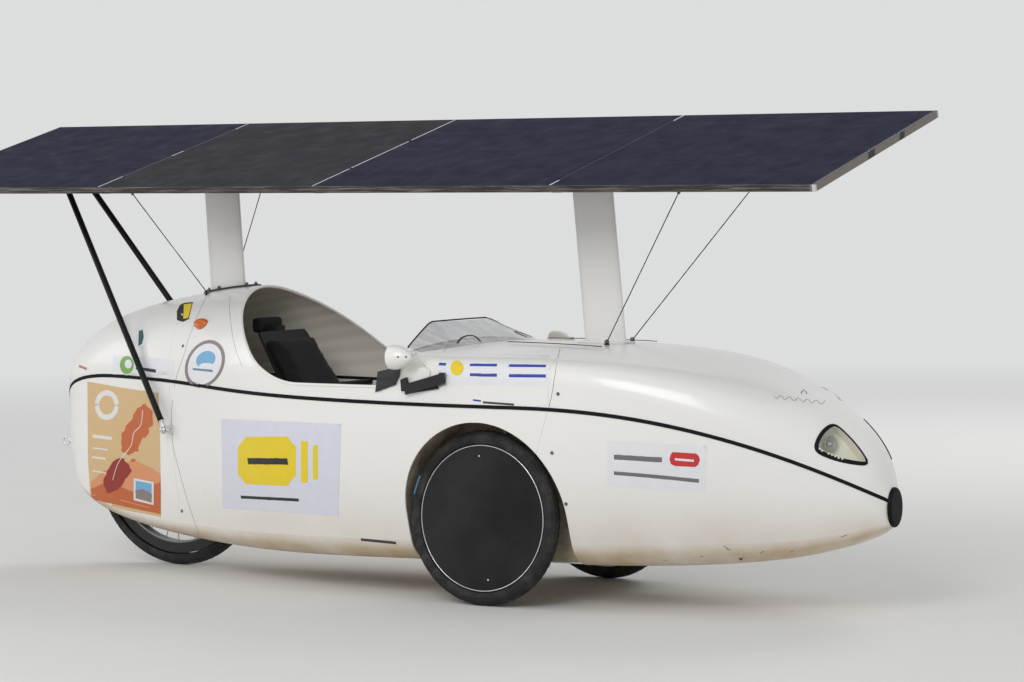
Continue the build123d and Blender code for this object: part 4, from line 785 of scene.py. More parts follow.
def on_body(px, py, lift=0.0, tree=None):
    """Place on the shell behind a point of the photograph, lifted off it, and the way out of the shell.

    Where a sight line slips through a joint between panels, the nearer surface beside it counts.
    """
    direction = sight(px, py)
    search = tree or shell_tree
    hit, normal, _, distance = search.ray_cast(CAMERA_PLACE, direction)
    if hit is None:
        raise ValueError(f"no shell behind {px}, {py}")
    for aside, above in BESIDE:
        _, near_normal, _, near_distance = search.ray_cast(CAMERA_PLACE, sight(px + aside, py + above))
        if near_distance is not None and near_distance < distance - CLEARLY_NEARER:
            hit, normal, distance = CAMERA_PLACE + direction * near_distance, near_normal, near_distance
    if normal.dot(direction) > 0:
        normal = -normal
    return hit + normal * lift, normal


def near_body(px, py, lift, tree, centre):
    """Same, drawn in towards a centre where the point itself looks past the shell's edge."""
    for step in range(40):
        share = step * 0.02
        try:
            return on_body(px + (centre.x - px) * share, py + (centre.y - py) * share, lift, tree)
        except ValueError:
            continue
    raise ValueError(f"no shell near {px}, {py}")


def sheet_mesh(name, points, faces, material):
    """One smooth mesh of the points and of their mirror image on the other side."""
    base = len(points)
    all_points = points + [mirrored(point) for point in points]
    all_faces = faces + [[base + index for index in reversed(face)] for face in faces]
    return mesh_object(name, all_points, all_faces, material, smooth=True)


def sticker(name, outline, film, lift, step=5.0):
    """Thin film on both sides of the shell inside an outline in the photograph."""
    flat = bmesh.new()
    flat.faces.new([flat.verts.new((px, py, 0.0)) for px, py in outline])
    bmesh.ops.triangulate(flat, faces=flat.faces[:])
    for axis, across in enumerate((X_AXIS, Y_AXIS)):
        low = min(point[axis] for point in outline)
        high = max(point[axis] for point in outline)
        for line in range(1, int((high - low) / step) + 1):
            parts = flat.verts[:] + flat.edges[:] + flat.faces[:]
            cut = across * (low + line * step)
            bmesh.ops.bisect_plane(flat, geom=parts, plane_co=cut, plane_no=across)
    flat.verts.ensure_lookup_table()
    flat.verts.index_update()
    centre = Vector((sum(point[0] for point in outline), sum(point[1] for point in outline))) / len(outline)
    points = [near_body(vertex.co.x, vertex.co.y, lift, None, centre)[0] for vertex in flat.verts]
    faces = [[vertex.index for vertex in face.verts] for face in flat.faces]
    flat.free()
    return add(sheet_mesh(name, points, faces, films[film]))


def ribbon(name, route, width, film, lift, tree=None):
    """Narrow raised line on both sides of the shell along points of the photograph."""
    line = smooth_route([(px, py, 0.0) for px, py in route], 3.0)
    placed = [on_body(point.x, point.y, 0.0, tree) for point in line]
    points = []
    for index, (place, normal) in enumerate(placed):
        before, after = neighbours(placed, index, False)
        across = (after[0] - before[0]).normalized().cross(normal).normalized()
        points += [
            place - across * width / 2 + normal * 0.0001,
            place - across * width / 4 + normal * lift,
            place + across * width / 4 + normal * lift,
            place + across * width / 2 + normal * 0.0001,
        ]
    return add(sheet_mesh(name, points, grid_faces(len(placed), 4), films[film]))


# Cockpit rim: a rolled bead along the edge of the opening
RIM_REACH = (-0.52, 0.3)
RIM_LOWEST = 0.6
RIM_CENTRE_HEIGHT = 0.5
RIM_SHARP = math.radians(30)
RIM_FACING_OUT = 0.55
RIM_RADIUS = 0.0048
RIM_SINK = 0.0025
RIM_SPACING = 0.012
RIM_SHORTEST = 0.008


def rim_chain(shape):
    """Neighbours of each point on the outer edge of the cockpit opening, and the way out of the shell."""
    chain, outward = {}, {}
    for edge in shape.edges:
        if len(edge.link_faces) != 2 or edge.calc_face_angle() < RIM_SHARP:
            continue
        middle = (edge.verts[0].co + edge.verts[1].co) / 2
        if not (RIM_REACH[0] < middle.x < RIM_REACH[1] and middle.z > RIM_LOWEST):
            continue
        out = Vector((0.0, middle.y, middle.z - RIM_CENTRE_HEIGHT)).normalized()
        normals = sorted((face.normal for face in edge.link_faces), key=lambda normal: normal.dot(out))
        if normals[1].dot(out) < RIM_FACING_OUT:
            continue
        for here, there in (edge.verts, reversed(edge.verts)):
            chain.setdefault(here.index, []).append(there.index)
            outward[here.index] = normals[1].copy()
    return chain, outward


def cockpit_rim():
    shape = bmesh.new()
    shape.from_mesh(nodes["middle_upper"].data)
    bmesh.ops.remove_doubles(shape, verts=shape.verts[:], dist=TOUCHING)
    chain, outward = rim_chain(shape)
    shape.verts.ensure_lookup_table()
    start = max(chain, key=lambda index: shape.verts[index].co.x)
    loop, previous, here = [start], None, start
    while True:
        options = [index for index in chain[here] if index != previous and (index not in loop[1:])]
        if not options or (options[0] == start and len(loop) > 2):
            break
        previous, here = here, options[0]
        loop.append(here)
    centres = [shape.verts[index].co - outward[index] * RIM_SINK for index in loop]
    shape.free()
    spaced = [centres[0]]
    for place in centres[1:]:
        if (place - spaced[-1]).length > RIM_SPACING:
            spaced.append(place)
    if (spaced[0] - spaced[-1]).length < RIM_SHORTEST:
        spaced.pop()
    add(tube("cockpit_rim", [spaced], RIM_RADIUS, white_paint, closed=True, step=0.006), "body_white")


cockpit_rim()

# Screws of the shell panels, in photo pixels
SCREWS = [(183, 346), (182, 511), (558, 394), (552, 453), (566, 504), (741, 559)]
SCREW_HEAD = [
    (0.0, 0.0008), (0.0016, 0.0008), (0.002, 0.0022), (0.0042, 0.002), (0.0052, 0.0006), (0.0052, -0.0004),
]
screw_places = [pair for px, py in SCREWS for pair in both_sides(*on_body(px, py))]
add(turned("body_screws", SCREW_HEAD, screw_places, screw_metal, 18), "steel")


# Stickers in plain generic shapes, the same on both sides
def oval(px, py, width, height, lean=0.0):
    """Outline of an oval, leaning like a slanted badge."""
    outline = []
    for step in range(40):
        angle = 2 * math.pi * step / 40
        aside = width / 2 * math.cos(angle) + lean * math.sin(angle)
        outline.append((px + aside, py + height / 2 * math.sin(angle)))
    return outline


def rough(points, size, parts=4):
    """Outline with small bays and headlands along its edges."""
    result = []
    for index, start in enumerate(points):
        end = points[(index + 1) % len(points)]
        for part in range(parts):
            share = part / parts
            px, py = start[0] + (end[0] - start[0]) * share, start[1] + (end[1] - start[1]) * share
            reach = size * (1.6 if part else 0.6)
            aside = noise.noise(Vector((px * 0.31, py * 0.31, 1.7)))
            above = noise.noise(Vector((px * 0.31, py * 0.31, 9.2)))
            result.append((px + reach * aside, py + reach * above))
    return result


POSTER = [(87.5, 381.5), (120, 387.5), (158.5, 393), (160, 430), (161, 517), (125, 510), (91, 501), (88, 460)]
HILLS = [
    (91, 482), (98, 476), (104, 470.5), (111, 469.5), (118, 465), (124, 464.5), (131, 460.5), (138, 462),
    (144, 464.5), (152, 468), (160.5, 474), (161, 495), (91, 497),
]
NEAR_HILLS = [
    (91.5, 489), (104, 483), (119, 486), (134, 492), (150, 486), (160.7, 482), (160.8, 514), (127, 507),
    (92, 499),
]
DARK_SHAPE = [(104, 478), (112, 462), (124, 458), (132, 470), (124, 483), (114, 491), (107, 494)]
LIGHT_SHAPE = [
    (122, 452), (121, 434), (132, 420), (138, 408), (146, 404), (153, 415), (150, 432), (141, 441),
    (139, 452), (129, 456),
]
WINDOW_GROUND = [(136, 490), (144, 489), (152, 493.5), (152, 502.5), (136, 498)]
POSTER_ISLAND = [(131, 460), (135, 458.5), (136, 461), (132, 462)]
CARD_BLOCK = [
    (246, 437), (287, 436.5), (296, 447), (296, 475), (287, 486), (246, 484), (238, 474), (238, 447),
]
BADGE_STRIPE = [(139, 331), (143, 330), (144, 337), (142, 344), (138.5, 346)]
HOOD_BADGE = [(180, 305), (184, 303), (193, 302), (189, 319), (183, 322), (177, 320), (177, 311)]
PILL = [
    (672.5, 452), (696, 453.5), (699, 456), (700, 460), (698, 465), (695, 467), (675, 466), (671, 464),
    (669.5, 459), (670.5, 455),
]
STICKERS = {
    # name: (outline in photo pixels, film, lift off the shell)
    "tail_poster": (POSTER, "sand_film", 0.0005),
    "poster_sun": (oval(107, 405, 24, 30), "pale_film", 0.0008),
    "poster_sun_inner": (oval(107, 405, 15, 19), "sand_film", 0.0011),
    "poster_hills": (HILLS, "orange_film", 0.0008),
    "poster_hills_near": (NEAR_HILLS, "terracotta_film", 0.0011),
    "poster_band_dark": (rough(DARK_SHAPE, 2.2), "dark_red_film", 0.0014),
    "poster_shape": (rough(LIGHT_SHAPE, 2.6), "terracotta_film", 0.0008),
    "poster_window": ([(134, 478), (154, 482), (154, 505), (134, 500)], "pale_film", 0.0014),
    "poster_window_inner": ([(136, 480.5), (152, 483.6), (152, 502.5), (136, 498)], "sky_film", 0.0017),
    "poster_window_ground": (rough(WINDOW_GROUND, 0.8), "grey_brown_film", 0.002),
    "poster_islands": (rough(POSTER_ISLAND, 0.6, 2), "terracotta_film", 0.0014),
    "side_card": ([(221, 419), (341, 424), (338.5, 516), (223, 508)], "card_film", 0.0005),
    "side_card_block": (CARD_BLOCK, "yellow_film", 0.0008),
    "side_card_bar_1": ([(301, 441), (308, 441.5), (308, 482.5), (301, 482)], "yellow_film", 0.0008),
    "side_card_bar_2": ([(313, 445), (318, 445.4), (318, 479.5), (313, 479)], "yellow_film", 0.0008),
    "round_badge": (oval(205, 364, 39, 48, -5.0), "grey_brown_film", 0.0005),
    "round_badge_face": (oval(205, 364, 33, 41, -4.2), "soft_white_film", 0.0008),
    "round_badge_centre": (oval(206, 359.5, 19, 17, -2.0), "sky_film", 0.0011),
    "round_badge_centre_low": (oval(207, 366, 15, 6), "soft_white_film", 0.0014),
    "hood_badge": (HOOD_BADGE, "black_film", 0.0005),
    "hood_badge_field": ([(184, 304.5), (192, 303.5), (188.5, 318), (183.5, 319)], "yellow_film", 0.0008),
    "green_badge": (oval(140, 338, 14, 19), "soft_white_film", 0.0005),
    "green_badge_field": (BADGE_STRIPE, "dark_green_film", 0.0008),
    "swirl_card": ([(113, 355), (174, 360), (174, 382.5), (113, 374.5)], "soft_white_film", 0.0004),
    "swirl": (oval(127, 365, 14, 18), "green_film", 0.0007),
    "swirl_eye": (oval(128.5, 364, 7, 9), "soft_white_film", 0.001),
    "deck_card": ([(441, 353.5), (550, 355.5), (550, 386), (441, 384)], "deck_film", 0.0004),
    "sun_disc": (oval(457, 368, 13, 14.5), "yellow_film", 0.0008),
    "nose_card": ([(607, 441), (707, 446), (705, 492), (608, 486)], "nose_card_film", 0.0004),
}
for name, (outline, film, lift) in STICKERS.items():
    sticker(name, outline, film, lift)
sticker("nose_card_pill", PILL, "red_film", 0.0008, step=4.0)

TAIL_JOINT = [(207, 295), (201, 308), (195, 322), (189, 338), (184, 355), (178, 372), (174, 388)]
TAIL_JOINT_LOW = [(172.5, 400), (171.5, 420), (173, 445), (179, 470), (187, 499), (194, 520), (199, 535)]
HOOD_JOINT = [(230, 296), (229.5, 308), (230.5, 320)]
HOOD_JOINT_LOW = [(230.5, 321), (233, 338), (237, 353), (242, 366)]
DECK_JOINT = [(560, 349), (557, 362), (554.5, 378), (552, 394), (549, 407)]
POSTER_ROAD = [(143, 410), (141, 425), (134, 433), (131, 446), (119, 462), (113, 480)]
SCRIBBLE = [(774 + 2.7 * step, 396.5 + 0.34 * step + 2.2 * math.sin(step * 1.9)) for step in range(20)]
LINES = {
    # name: (route in photo pixels, width, film, height)
    "tail_joint_line": (TAIL_JOINT, 0.0016, "joint_shadow", 0.0003),
    "tail_joint_line_low": (TAIL_JOINT_LOW, 0.0016, "joint_shadow", 0.0003),
    "hood_joint_line": (HOOD_JOINT, 0.001, "joint_shadow", 0.0002),
    "hood_joint_line_low": (HOOD_JOINT_LOW, 0.001, "joint_shadow", 0.0002),
    "deck_joint_line": (DECK_JOINT, 0.0014, "joint_shadow", 0.0003),
    "poster_road": (POSTER_ROAD, 0.004, "pale_film", 0.0017),
    "poster_line_1": ([(93, 436), (112, 438.5)], 0.014, "pale_film", 0.0009),
    "poster_line_2": ([(92, 457), (106, 459)], 0.008, "pale_film", 0.0009),
    "poster_line_3": ([(93, 471), (109, 473.5)], 0.005, "pale_film", 0.0011),
    "poster_line_4": ([(93, 448), (108, 450)], 0.006, "pale_film", 0.0011),
    "poster_foot_line": ([(121, 500), (150, 508)], 0.004, "orange_film", 0.0017),
    "side_card_mark": ([(248, 461), (288, 461.5)], 0.028, "black_film", 0.0011),
    "side_card_line": ([(241, 497), (299, 500)], 0.012, "black_film", 0.0009),
    "round_badge_line": ([(193, 369), (213, 371)], 0.009, "badge_line", 0.0012),
    "swirl_line_1": ([(136, 368), (146, 369.5), (156, 371)], 0.012, "joint_shadow", 0.0008),
    "swirl_line_2": ([(130, 376), (172, 380.5)], 0.005, "swirl_grey", 0.0008),
    "tail_mark": ([(79, 366), (87, 369)], 0.008, "rose_film", 0.0006),
    "deck_small_mark": ([(473, 400), (481, 401)], 0.005, "blue_film", 0.0008),
    "deck_small_line": ([(483, 402.3), (514, 404.6)], 0.006, "joint_shadow", 0.0008),
    "belly_line": ([(361, 539.5), (396, 543)], 0.009, "joint_shadow", 0.0008),
    "nose_card_line_1": ([(614, 457), (662, 460)], 0.017, "grey_ink", 0.0008),
    "nose_card_line_2": ([(614, 473), (655, 476.5), (699, 481)], 0.013, "grey_ink", 0.0008),
    "nose_card_pill_line": ([(675, 459.3), (694, 460.8)], 0.009, "soft_white_film", 0.0011),
    "nose_scribble": (SCRIBBLE, 0.0022, "scribble_blue", 0.0005),
    "nose_scribble_mark": ([(801, 393.5), (804, 389.5), (807, 394)], 0.0035, "scribble_teal", 0.0005),
    "deck_cable": ([(508, 342), (540, 343.2), (575, 345), (602, 347)], 0.004, "black_film", 0.0022),
    "deck_bow": ([(444, 352), (447, 346), (452, 342), (459, 340)], 0.0012, "joint_shadow", 0.0003),
}
for name, (route, width, film, height) in LINES.items():
    ribbon(name, route, width, film, height)

DECK_BARS = [(439, 446), (470, 497), (509, 546)]
DECK_BAR_ROWS = {"deck_bar": 364, "deck_bar_low": 374}
for number, (low, high) in enumerate(DECK_BARS):
    for name, row in DECK_BAR_ROWS.items():
        py = row + number * 0.8
        ribbon(f"{name}_{number + 1}", [(low, py), (high, py + 0.4)], 0.009, "blue_film", 0.0009)

SCRATCHES = [
    [(724, 546), (728, 548.5)], [(726, 549), (731, 550)], [(738, 558), (745, 557.5)],
    [(760, 554), (764, 551)], [(841, 537), (847, 535)], [(790, 552), (794, 550.5)],
    [(662, 560), (667, 560.5)], [(700, 557), (703, 556)],
]
for number, line in enumerate(SCRATCHES):
    ribbon(f"belly_scratch_{number + 1}", line, 0.0022, "scratch_brown", 0.0003)

SCREEN_ARCH = [(457, 343.5), (461.5, 338), (468, 335.6), (475, 336.4), (481, 341.5)]
ribbon("screen_arch", SCREEN_ARCH, 0.007, "black_film", 0.0015, tree=merged_tree(["windscreen"]))

# Headlights: bowed clear covers in black gaskets, with a lamp behind each
LAMP_CORNERS = [(1.490, -0.085, 0.520), (1.580, -0.067, 0.414), (1.465, -0.153, 0.455)]
LAMP_BOWS = (0.005, 0.011, 0.012)
GASKET_WIDTHS = (0.004, 0.010, 0.010)
GASKET_SECTION = ((-0.45, 0.0006), (-0.38, 0.0032), (0.46, 0.0034), (0.62, 0.0003))
SEALANT_DROP = [(0.0, 0.0012), (0.0022, 0.001), (0.0034, 0.0003), (0.0036, -0.001)]
LAMP_DISH = [
    (0.0, -0.004), (0.007, -0.004), (0.012, 0.001), (0.019, 0.010), (0.0215, 0.012), (0.0225, 0.010),
    (0.021, 0.004), (0.014, -0.006), (0.0, -0.009),
]
LAMP_BULB = [(0.0, 0.009), (0.0028, 0.0075), (0.004, 0.004), (0.004, -0.003), (0.0, -0.003)]
EDGE_STEPS = 14
COVER_RINGS = 9
COVER_LIFT = 0.0008
COVER_BULGE = 0.0085
NOSE_SEARCH = 0.06
BEAD_SPAN = slice(20, 29)
BEAD_GAP = -0.28
LAMP_DEPTH = 0.024
LAMP_SHIFT = Vector((-0.022, -0.008, 0.014))
LAMP_WAY = Vector((0.9, -0.35, 0.1)).normalized()


def away(along, normal, offset):
    """Direction square to a line and a normal, on the offset's side."""
    out = along.cross(normal)
    return -out if out.dot(offset) < 0 else out


def along_ring(points, index):
    return (points[(index + 1) % len(points)] - points[index - 1]).normalized()


def softened(values):
    """Values on a ring, each drawn towards its two neighbours."""
    following = values[1:] + values[:1]
    return [(values[index - 1] + value * 2 + following[index]) / 4 for index, value in enumerate(values)]


def lamp_outline(grow):
    """Right window's outline on the shell, grown evenly, with the middle and the way out of its plane."""
    corners = [Vector(corner) for corner in LAMP_CORNERS]
    middle = sum(corners, Vector()) / 3
    normal = (corners[1] - corners[0]).cross(corners[2] - corners[0]).normalized()
    if normal.x < 0:
        normal = -normal
    points, widths = [], []
    for number in range(3):
        start, end = corners[number], corners[(number + 1) % 3]
        out = away((end - start).normalized(), normal, (start + end) / 2 - middle)
        for step in range(EDGE_STEPS):
            t = step / EDGE_STEPS
            points.append(start.lerp(end, t) + out * LAMP_BOWS[number] * 4 * t * (1 - t))
            widths.append(GASKET_WIDTHS[number])
    for _ in range(3):
        points, widths = softened(points), softened(widths)
    grown = []
    for index, point in enumerate(points):
        grown.append(point + away(along_ring(points, index), normal, point - middle) * grow)
    return grown, widths, middle, normal


def on_nose(point, normal, lift):
    """The point moved along the window's normal onto the nose, then lifted."""
    hit, _, _, _ = nose_tree.ray_cast(point + normal * NOSE_SEARCH, -normal)
    return (hit if hit is not None else point) + normal * lift


def headlight_covers(inner, middle, normal):
    points = []
    for ring in range(COVER_RINGS):
        share = 1.0 - ring / COVER_RINGS
        bulge = COVER_LIFT + COVER_BULGE * (1.0 - share ** 2.2)
        points += [on_nose(middle.lerp(place, share), normal, bulge) for place in inner]
    points.append(on_nose(middle, normal, 0.0094))
    count = len(inner)
    faces = grid_faces(COVER_RINGS, count, ring_columns=True)
    last = (COVER_RINGS - 1) * count
    for index in range(count):
        faces.append([last + index, last + (index + 1) % count, COVER_RINGS * count])
    cover = sheet_mesh("headlight_covers", points, faces, materials["clear_lens"])
    add(cover, "clear_lens", "headlight_lenses")


def headlights():
    inner, _, middle, normal = lamp_outline(-0.001)
    outer, widths, _, _ = lamp_outline(0.0)
    headlight_covers(inner, middle, normal)
    points = []
    for index, place in enumerate(outer):
        out = away(along_ring(outer, index), normal, place - middle)
        for offset, lift in GASKET_SECTION:
            points.append(on_nose(place + out * offset * widths[index] * 1.05, normal, lift))
    faces = grid_faces(len(outer), len(GASKET_SECTION), ring_rows=True)
    add(sheet_mesh("headlight_gaskets", points, faces, materials["black_rubber"]), "black_rubber")

    beads = []
    for place in outer[BEAD_SPAN]:
        roll = noise.noise(place * 400.0)
        if roll >= BEAD_GAP:
            spot = on_nose(place.lerp(middle, 0.1 + 0.12 * roll), normal, 0.0026)
            beads += both_sides(spot, normal)
    add(turned("sealant_beads", SEALANT_DROP, beads, films["sealant"], 10))

    lamps = both_sides(middle - normal * LAMP_DEPTH + LAMP_SHIFT, LAMP_WAY)
    add(turned("lamp_dishes", LAMP_DISH, lamps, lamp_grey, 28), "lamp_silver")
    add(turned("lamp_bulbs", LAMP_BULB, lamps, films["pale_film"], 16))


headlights()

# Wheels: tyres with tread, a bright ring at each disc's edge and two rivets
TREAD_COLUMNS = 30
TREAD_REPEAT = 4
FRONT_TREAD_ROWS = 260
REAR_TREAD_ROWS = 340
MARK_START = 152.0
MARK_SPAN = 14.0
MARK_TILTS = (0.66, 0.92, 1.18)
RIVETS = ((479, 456), (488, 580))
RIVET_DOME = [(0.0, 0.0014), (0.0018, 0.0011), (0.003, 0.0002), (0.003, -0.001)]
DISC_RING = [(0.2016, 0.0002), (0.2018, 0.0012), (0.2038, 0.0012), (0.2044, -0.0004)]
RIM_TAPE = [(0.204, 0.0004), (0.2048, 0.0014), (0.2092, 0.001), (0.211, -0.002)]


def on_tyre(centre, rim, out, ring_radius, reach, tilt):
    """Place on a tyre's section, at a tilt from the direction to the rim towards the tyre's side."""
    return centre + rim * (ring_radius + reach * math.cos(tilt)) + out * reach * math.sin(tilt)


def tread_depth(tilt, segment, column):
    """Depth of the tread or of the side wall's ribs at one point of the tyre's section."""
    if abs(tilt) < 1.0:
        stagger = (segment + 2 * (column // 3)) % TREAD_REPEAT
        return 0.0011 if stagger == 0 or column % 4 == 1 else 0.0
    return 0.0005 if column % 3 == 0 else 0.0


def tyre(name, joint_name, body, replaced, wheel_radius, section, bead_radius, rows):
    """Turned tyre with rows of small tread blocks and ribbed side walls."""
    centre = Vector(joint_by_name[joint_name]["pos_m"])
    axis, first, second = axis_frame(joint_by_name[joint_name]["axis"])
    ring_radius = wheel_radius - section
    lowest = math.acos(max(-1.0, min(1.0, (bead_radius - ring_radius) / section)))
    points = []
    for segment in range(rows):
        rim = on_circle(first, second, segment, rows)
        for column in range(TREAD_COLUMNS + 1):
            tilt = lowest * (2 * column / TREAD_COLUMNS - 1)
            reach = section - tread_depth(tilt, segment, column)
            points.append(on_tyre(centre, rim, axis, ring_radius, reach, tilt))
    faces = grid_faces(rows, TREAD_COLUMNS + 1, ring_rows=True)
    add(mesh_object(name, points, faces, materials["tyre"]), "tyre", replaced, body=body)


def disc_parts(side_name, side):
    """Bright edge ring, tape and rivets of a front disc."""
    joint = joint_by_name[f"front_wheel_{side_name}_spin"]
    centre = Vector(joint["pos_m"])
    axis = Vector(joint["axis"]).normalized() * side
    offsets = [vertex.co - centre for vertex in nodes[f"wheel_disc_{side_name}"].data.vertices]
    edge = max(offset.dot(axis) for offset in offsets if (offset - axis * offset.dot(axis)).length > 0.2)
    body = f"wheel_{side_name}"
    ring = [(radius, edge + height) for radius, height in DISC_RING]
    add(turned(f"disc_ring_{side_name}", ring, [(centre, axis)], bright_metal, 96), "aluminium", body=body)
    lip = [(radius, edge + height) for radius, height in RIM_TAPE]
    lip_piece = turned(f"rim_tape_{side_name}", lip, [(centre, axis)], materials["black_plastic"], 96)
    add(lip_piece, "black_plastic", body=body)
    tree = merged_tree([f"wheel_disc_{side_name}"])
    heads = []
    for px, py in RIVETS:
        start, direction = CAMERA_PLACE, sight(px, py)
        if side > 0:
            start, direction = mirrored(start), mirrored(direction)
        heads.append((tree.ray_cast(start, direction)[0], axis))
    add(turned(f"disc_rivets_{side_name}", RIVET_DOME, heads, bright_metal, 14), "aluminium", body=body)


def tyre_mark():
    """Blue mark on the right front tyre's side wall."""
    joint = joint_by_name["front_wheel_right_spin"]
    centre = Vector(joint["pos_m"])
    out = Vector(joint["axis"]).normalized()
    if out.y > 0:
        out = -out
    along = (X_AXIS - out * out.x).normalized()
    up = (Z_AXIS - out * out.z).normalized()
    ring_radius = FRONT_WHEEL_RADIUS - FRONT_TYRE_SECTION
    reach = FRONT_TYRE_SECTION + 0.0003
    steps = 14
    points = []
    for step in range(steps + 1):
        around = math.radians(MARK_START + MARK_SPAN * step / steps)
        rim = along * math.cos(around) + up * math.sin(around)
        points += [on_tyre(centre, rim, out, ring_radius, reach, tilt) for tilt in MARK_TILTS]
    faces = grid_faces(steps + 1, len(MARK_TILTS))
    add(mesh_object("tyre_mark", points, faces, films["tyre_blue"], smooth=True), body="wheel_right")


for side_name, side in SIDES.items():
    tyre(f"front_tread_{side_name}", f"front_wheel_{side_name}_spin", f"wheel_{side_name}",
         f"front_tyre_{side_name}", FRONT_WHEEL_RADIUS, FRONT_TYRE_SECTION, FRONT_BEAD, FRONT_TREAD_ROWS)
    disc_parts(side_name, side)
tyre("rear_tread", "rear_wheel_spin", "wheel_rear", "rear_tyre", REAR_WHEEL_RADIUS, REAR_TYRE_SECTION,
     REAR_BEAD, REAR_TREAD_ROWS)
tyre_mark()

# Roof: seams between the panels, front lip and bolts, corner caps, boxes below
ROOF_TURN = Matrix.Rotation(ROOF_PITCH, 3, "Y") @ Matrix.Rotation(ROOF_TILT, 3, "X")
EDGE_Y = ROOF_HALF_WIDTH - 0.004
LIP_X = ROOF_HALF_LENGTH - 0.006
SEAM_SECTION = ((-0.5, 0.0), (-0.3, 0.0004), (0.3, 0.0004), (0.5, 0.0))
SEAMS = {
    # name: (place along the roof, width, spans across it, material)
    "roof_seam_middle": (0.0, 0.005, [(-EDGE_Y, -0.19), (-0.18, 0.12), (0.135, EDGE_Y)], pale_seam),
    "roof_seam_rear": (-PANEL_PITCH, 0.005, [(-EDGE_Y, -0.26), (0.31, EDGE_Y), (-0.02, 0.04)], pale_seam),
    "roof_seam_rear_dull": (-PANEL_PITCH, 0.004, [(-0.26, -0.02), (0.04, 0.31)], dull_seam),
    "roof_seam_front": (PANEL_PITCH, 0.004, [(-EDGE_Y + 0.05, EDGE_Y - 0.06)], faint_seam),
    "roof_seam_front_end": (
        PANEL_PITCH, 0.006, [(-EDGE_Y, -EDGE_Y + 0.05), (EDGE_Y - 0.06, EDGE_Y)], pale_seam,
    ),
    "roof_front_lip": (LIP_X, 0.011, [(-EDGE_Y, -0.06), (-0.045, 0.13), (0.145, EDGE_Y)], dull_seam),
}
FRONT_BOLTS = (-0.05, 0.138)
SMALL_HEAD = [(0.0, 0.0005), (0.002, 0.0005), (0.003, 0.0)]
CAP_FOOT = 0.0175
JUNCTION_BOXES = (-1.2, -0.4, 0.4, 1.2)


def on_roof(x, y, z):
    return ROOF_PLACE + ROOF_TURN @ Vector((x, y, z))


def roof_strip(name, x, width, spans, material):
    """Thin strips across the roof at one place along it, between pairs of y."""
    points, faces = [], []
    for low, high in spans:
        parts = max(2, int((high - low) / 0.03))
        faces += grid_faces(parts + 1, len(SEAM_SECTION), len(points))
        for part in range(parts + 1):
            y = low + (high - low) * part / parts
            waver = 0.0006 * noise.noise(Vector((x * 7.0, y * 30.0, 0.0)))
            for across, height in SEAM_SECTION:
                points.append(on_roof(x + across * width + waver, y, ROOF_TOP + 0.0001 + height))
    add(mesh_object(name, points, faces, material, smooth=True), "aluminium", body="roof")


def corner_caps():
    """Folded metal corners at the ends of the roof's frame."""
    points, faces = [], []
    top = ROOF_TOP + 0.0002
    for end in (1, -1):
        for side in (1, -1):
            base = len(points)
            x_edge = end * (ROOF_HALF_LENGTH - (0.0002 if end > 0 else 0.0006))
            y_edge = side * (ROOF_HALF_WIDTH + (0.0004 if end > 0 else 0.0003))
            x_out = x_edge + end * 0.0004
            for x, y in ((x_edge - end * 0.009, y_edge), (x_out, y_edge), (x_out, y_edge - side * 0.008)):
                points += [on_roof(x, y, CAP_FOOT), on_roof(x, y, top)]
            faces += [[base, base + 2, base + 3, base + 1], [base + 2, base + 4, base + 5, base + 3]]
    add(mesh_object("roof_corner_caps", points, faces, pale_seam), "aluminium", body="roof")


for name, (x, width, spans, material) in SEAMS.items():
    roof_strip(name, x, width, spans, material)
roof_bolts = [(on_roof(LIP_X, y, ROOF_TOP), ROOF_TURN @ Z_AXIS) for y in FRONT_BOLTS]
add(turned("roof_front_bolts", SMALL_HEAD, roof_bolts, bright_metal, 14), "steel", body="roof")
corner_caps()
box_places = [(on_roof(x, 0.12, 0.008), ROOF_TURN) for x in JUNCTION_BOXES]
block("junction_boxes", box_places, (0.11, 0.09, 0.018), materials["black_plastic"], 0.004, "roof")

# Rear struts: black tubes with a clamp under the beam and bare rod ends between two cheeks at the shell
STRUT_TOP = Vector((-1.256, 0.05, 1.22))
STRUT_FOOT = Vector((-0.714, 0.218, 0.442))
STRUT_RADIUS = 0.0095
CLAMP_FOOT = 1.206
SLEEVE_AT = 0.034
SHANK_ENDS = (0.036, 0.006)
CHEEK_SHIFTS = (-0.0095, 0.0095)
CHEEK_INWARD = 0.022
CHEEK_SIZE = (0.0035, 0.054, 0.024)
LOCK_NUT = [(0.0, -0.006), (0.0068, -0.006), (0.0078, -0.0045), (0.0078, 0.002), (0.0, 0.002)]
STRUT_PIN = [
    (0.0, -0.0165), (0.0058, -0.0165), (0.0062, -0.0135), (0.0036, -0.0125), (0.0036, 0.0125),
    (0.006, 0.013), (0.006, 0.0165), (0.0, 0.0165),
]
ROD_END = [(0.0042, -0.005), (0.0085, -0.0035), (0.0093, 0.0), (0.0085, 0.0035), (0.0042, 0.005)]
CLAMP_HEAD = [(0.0, 0.0004), (0.004, 0.0004), (0.005, -0.001)]


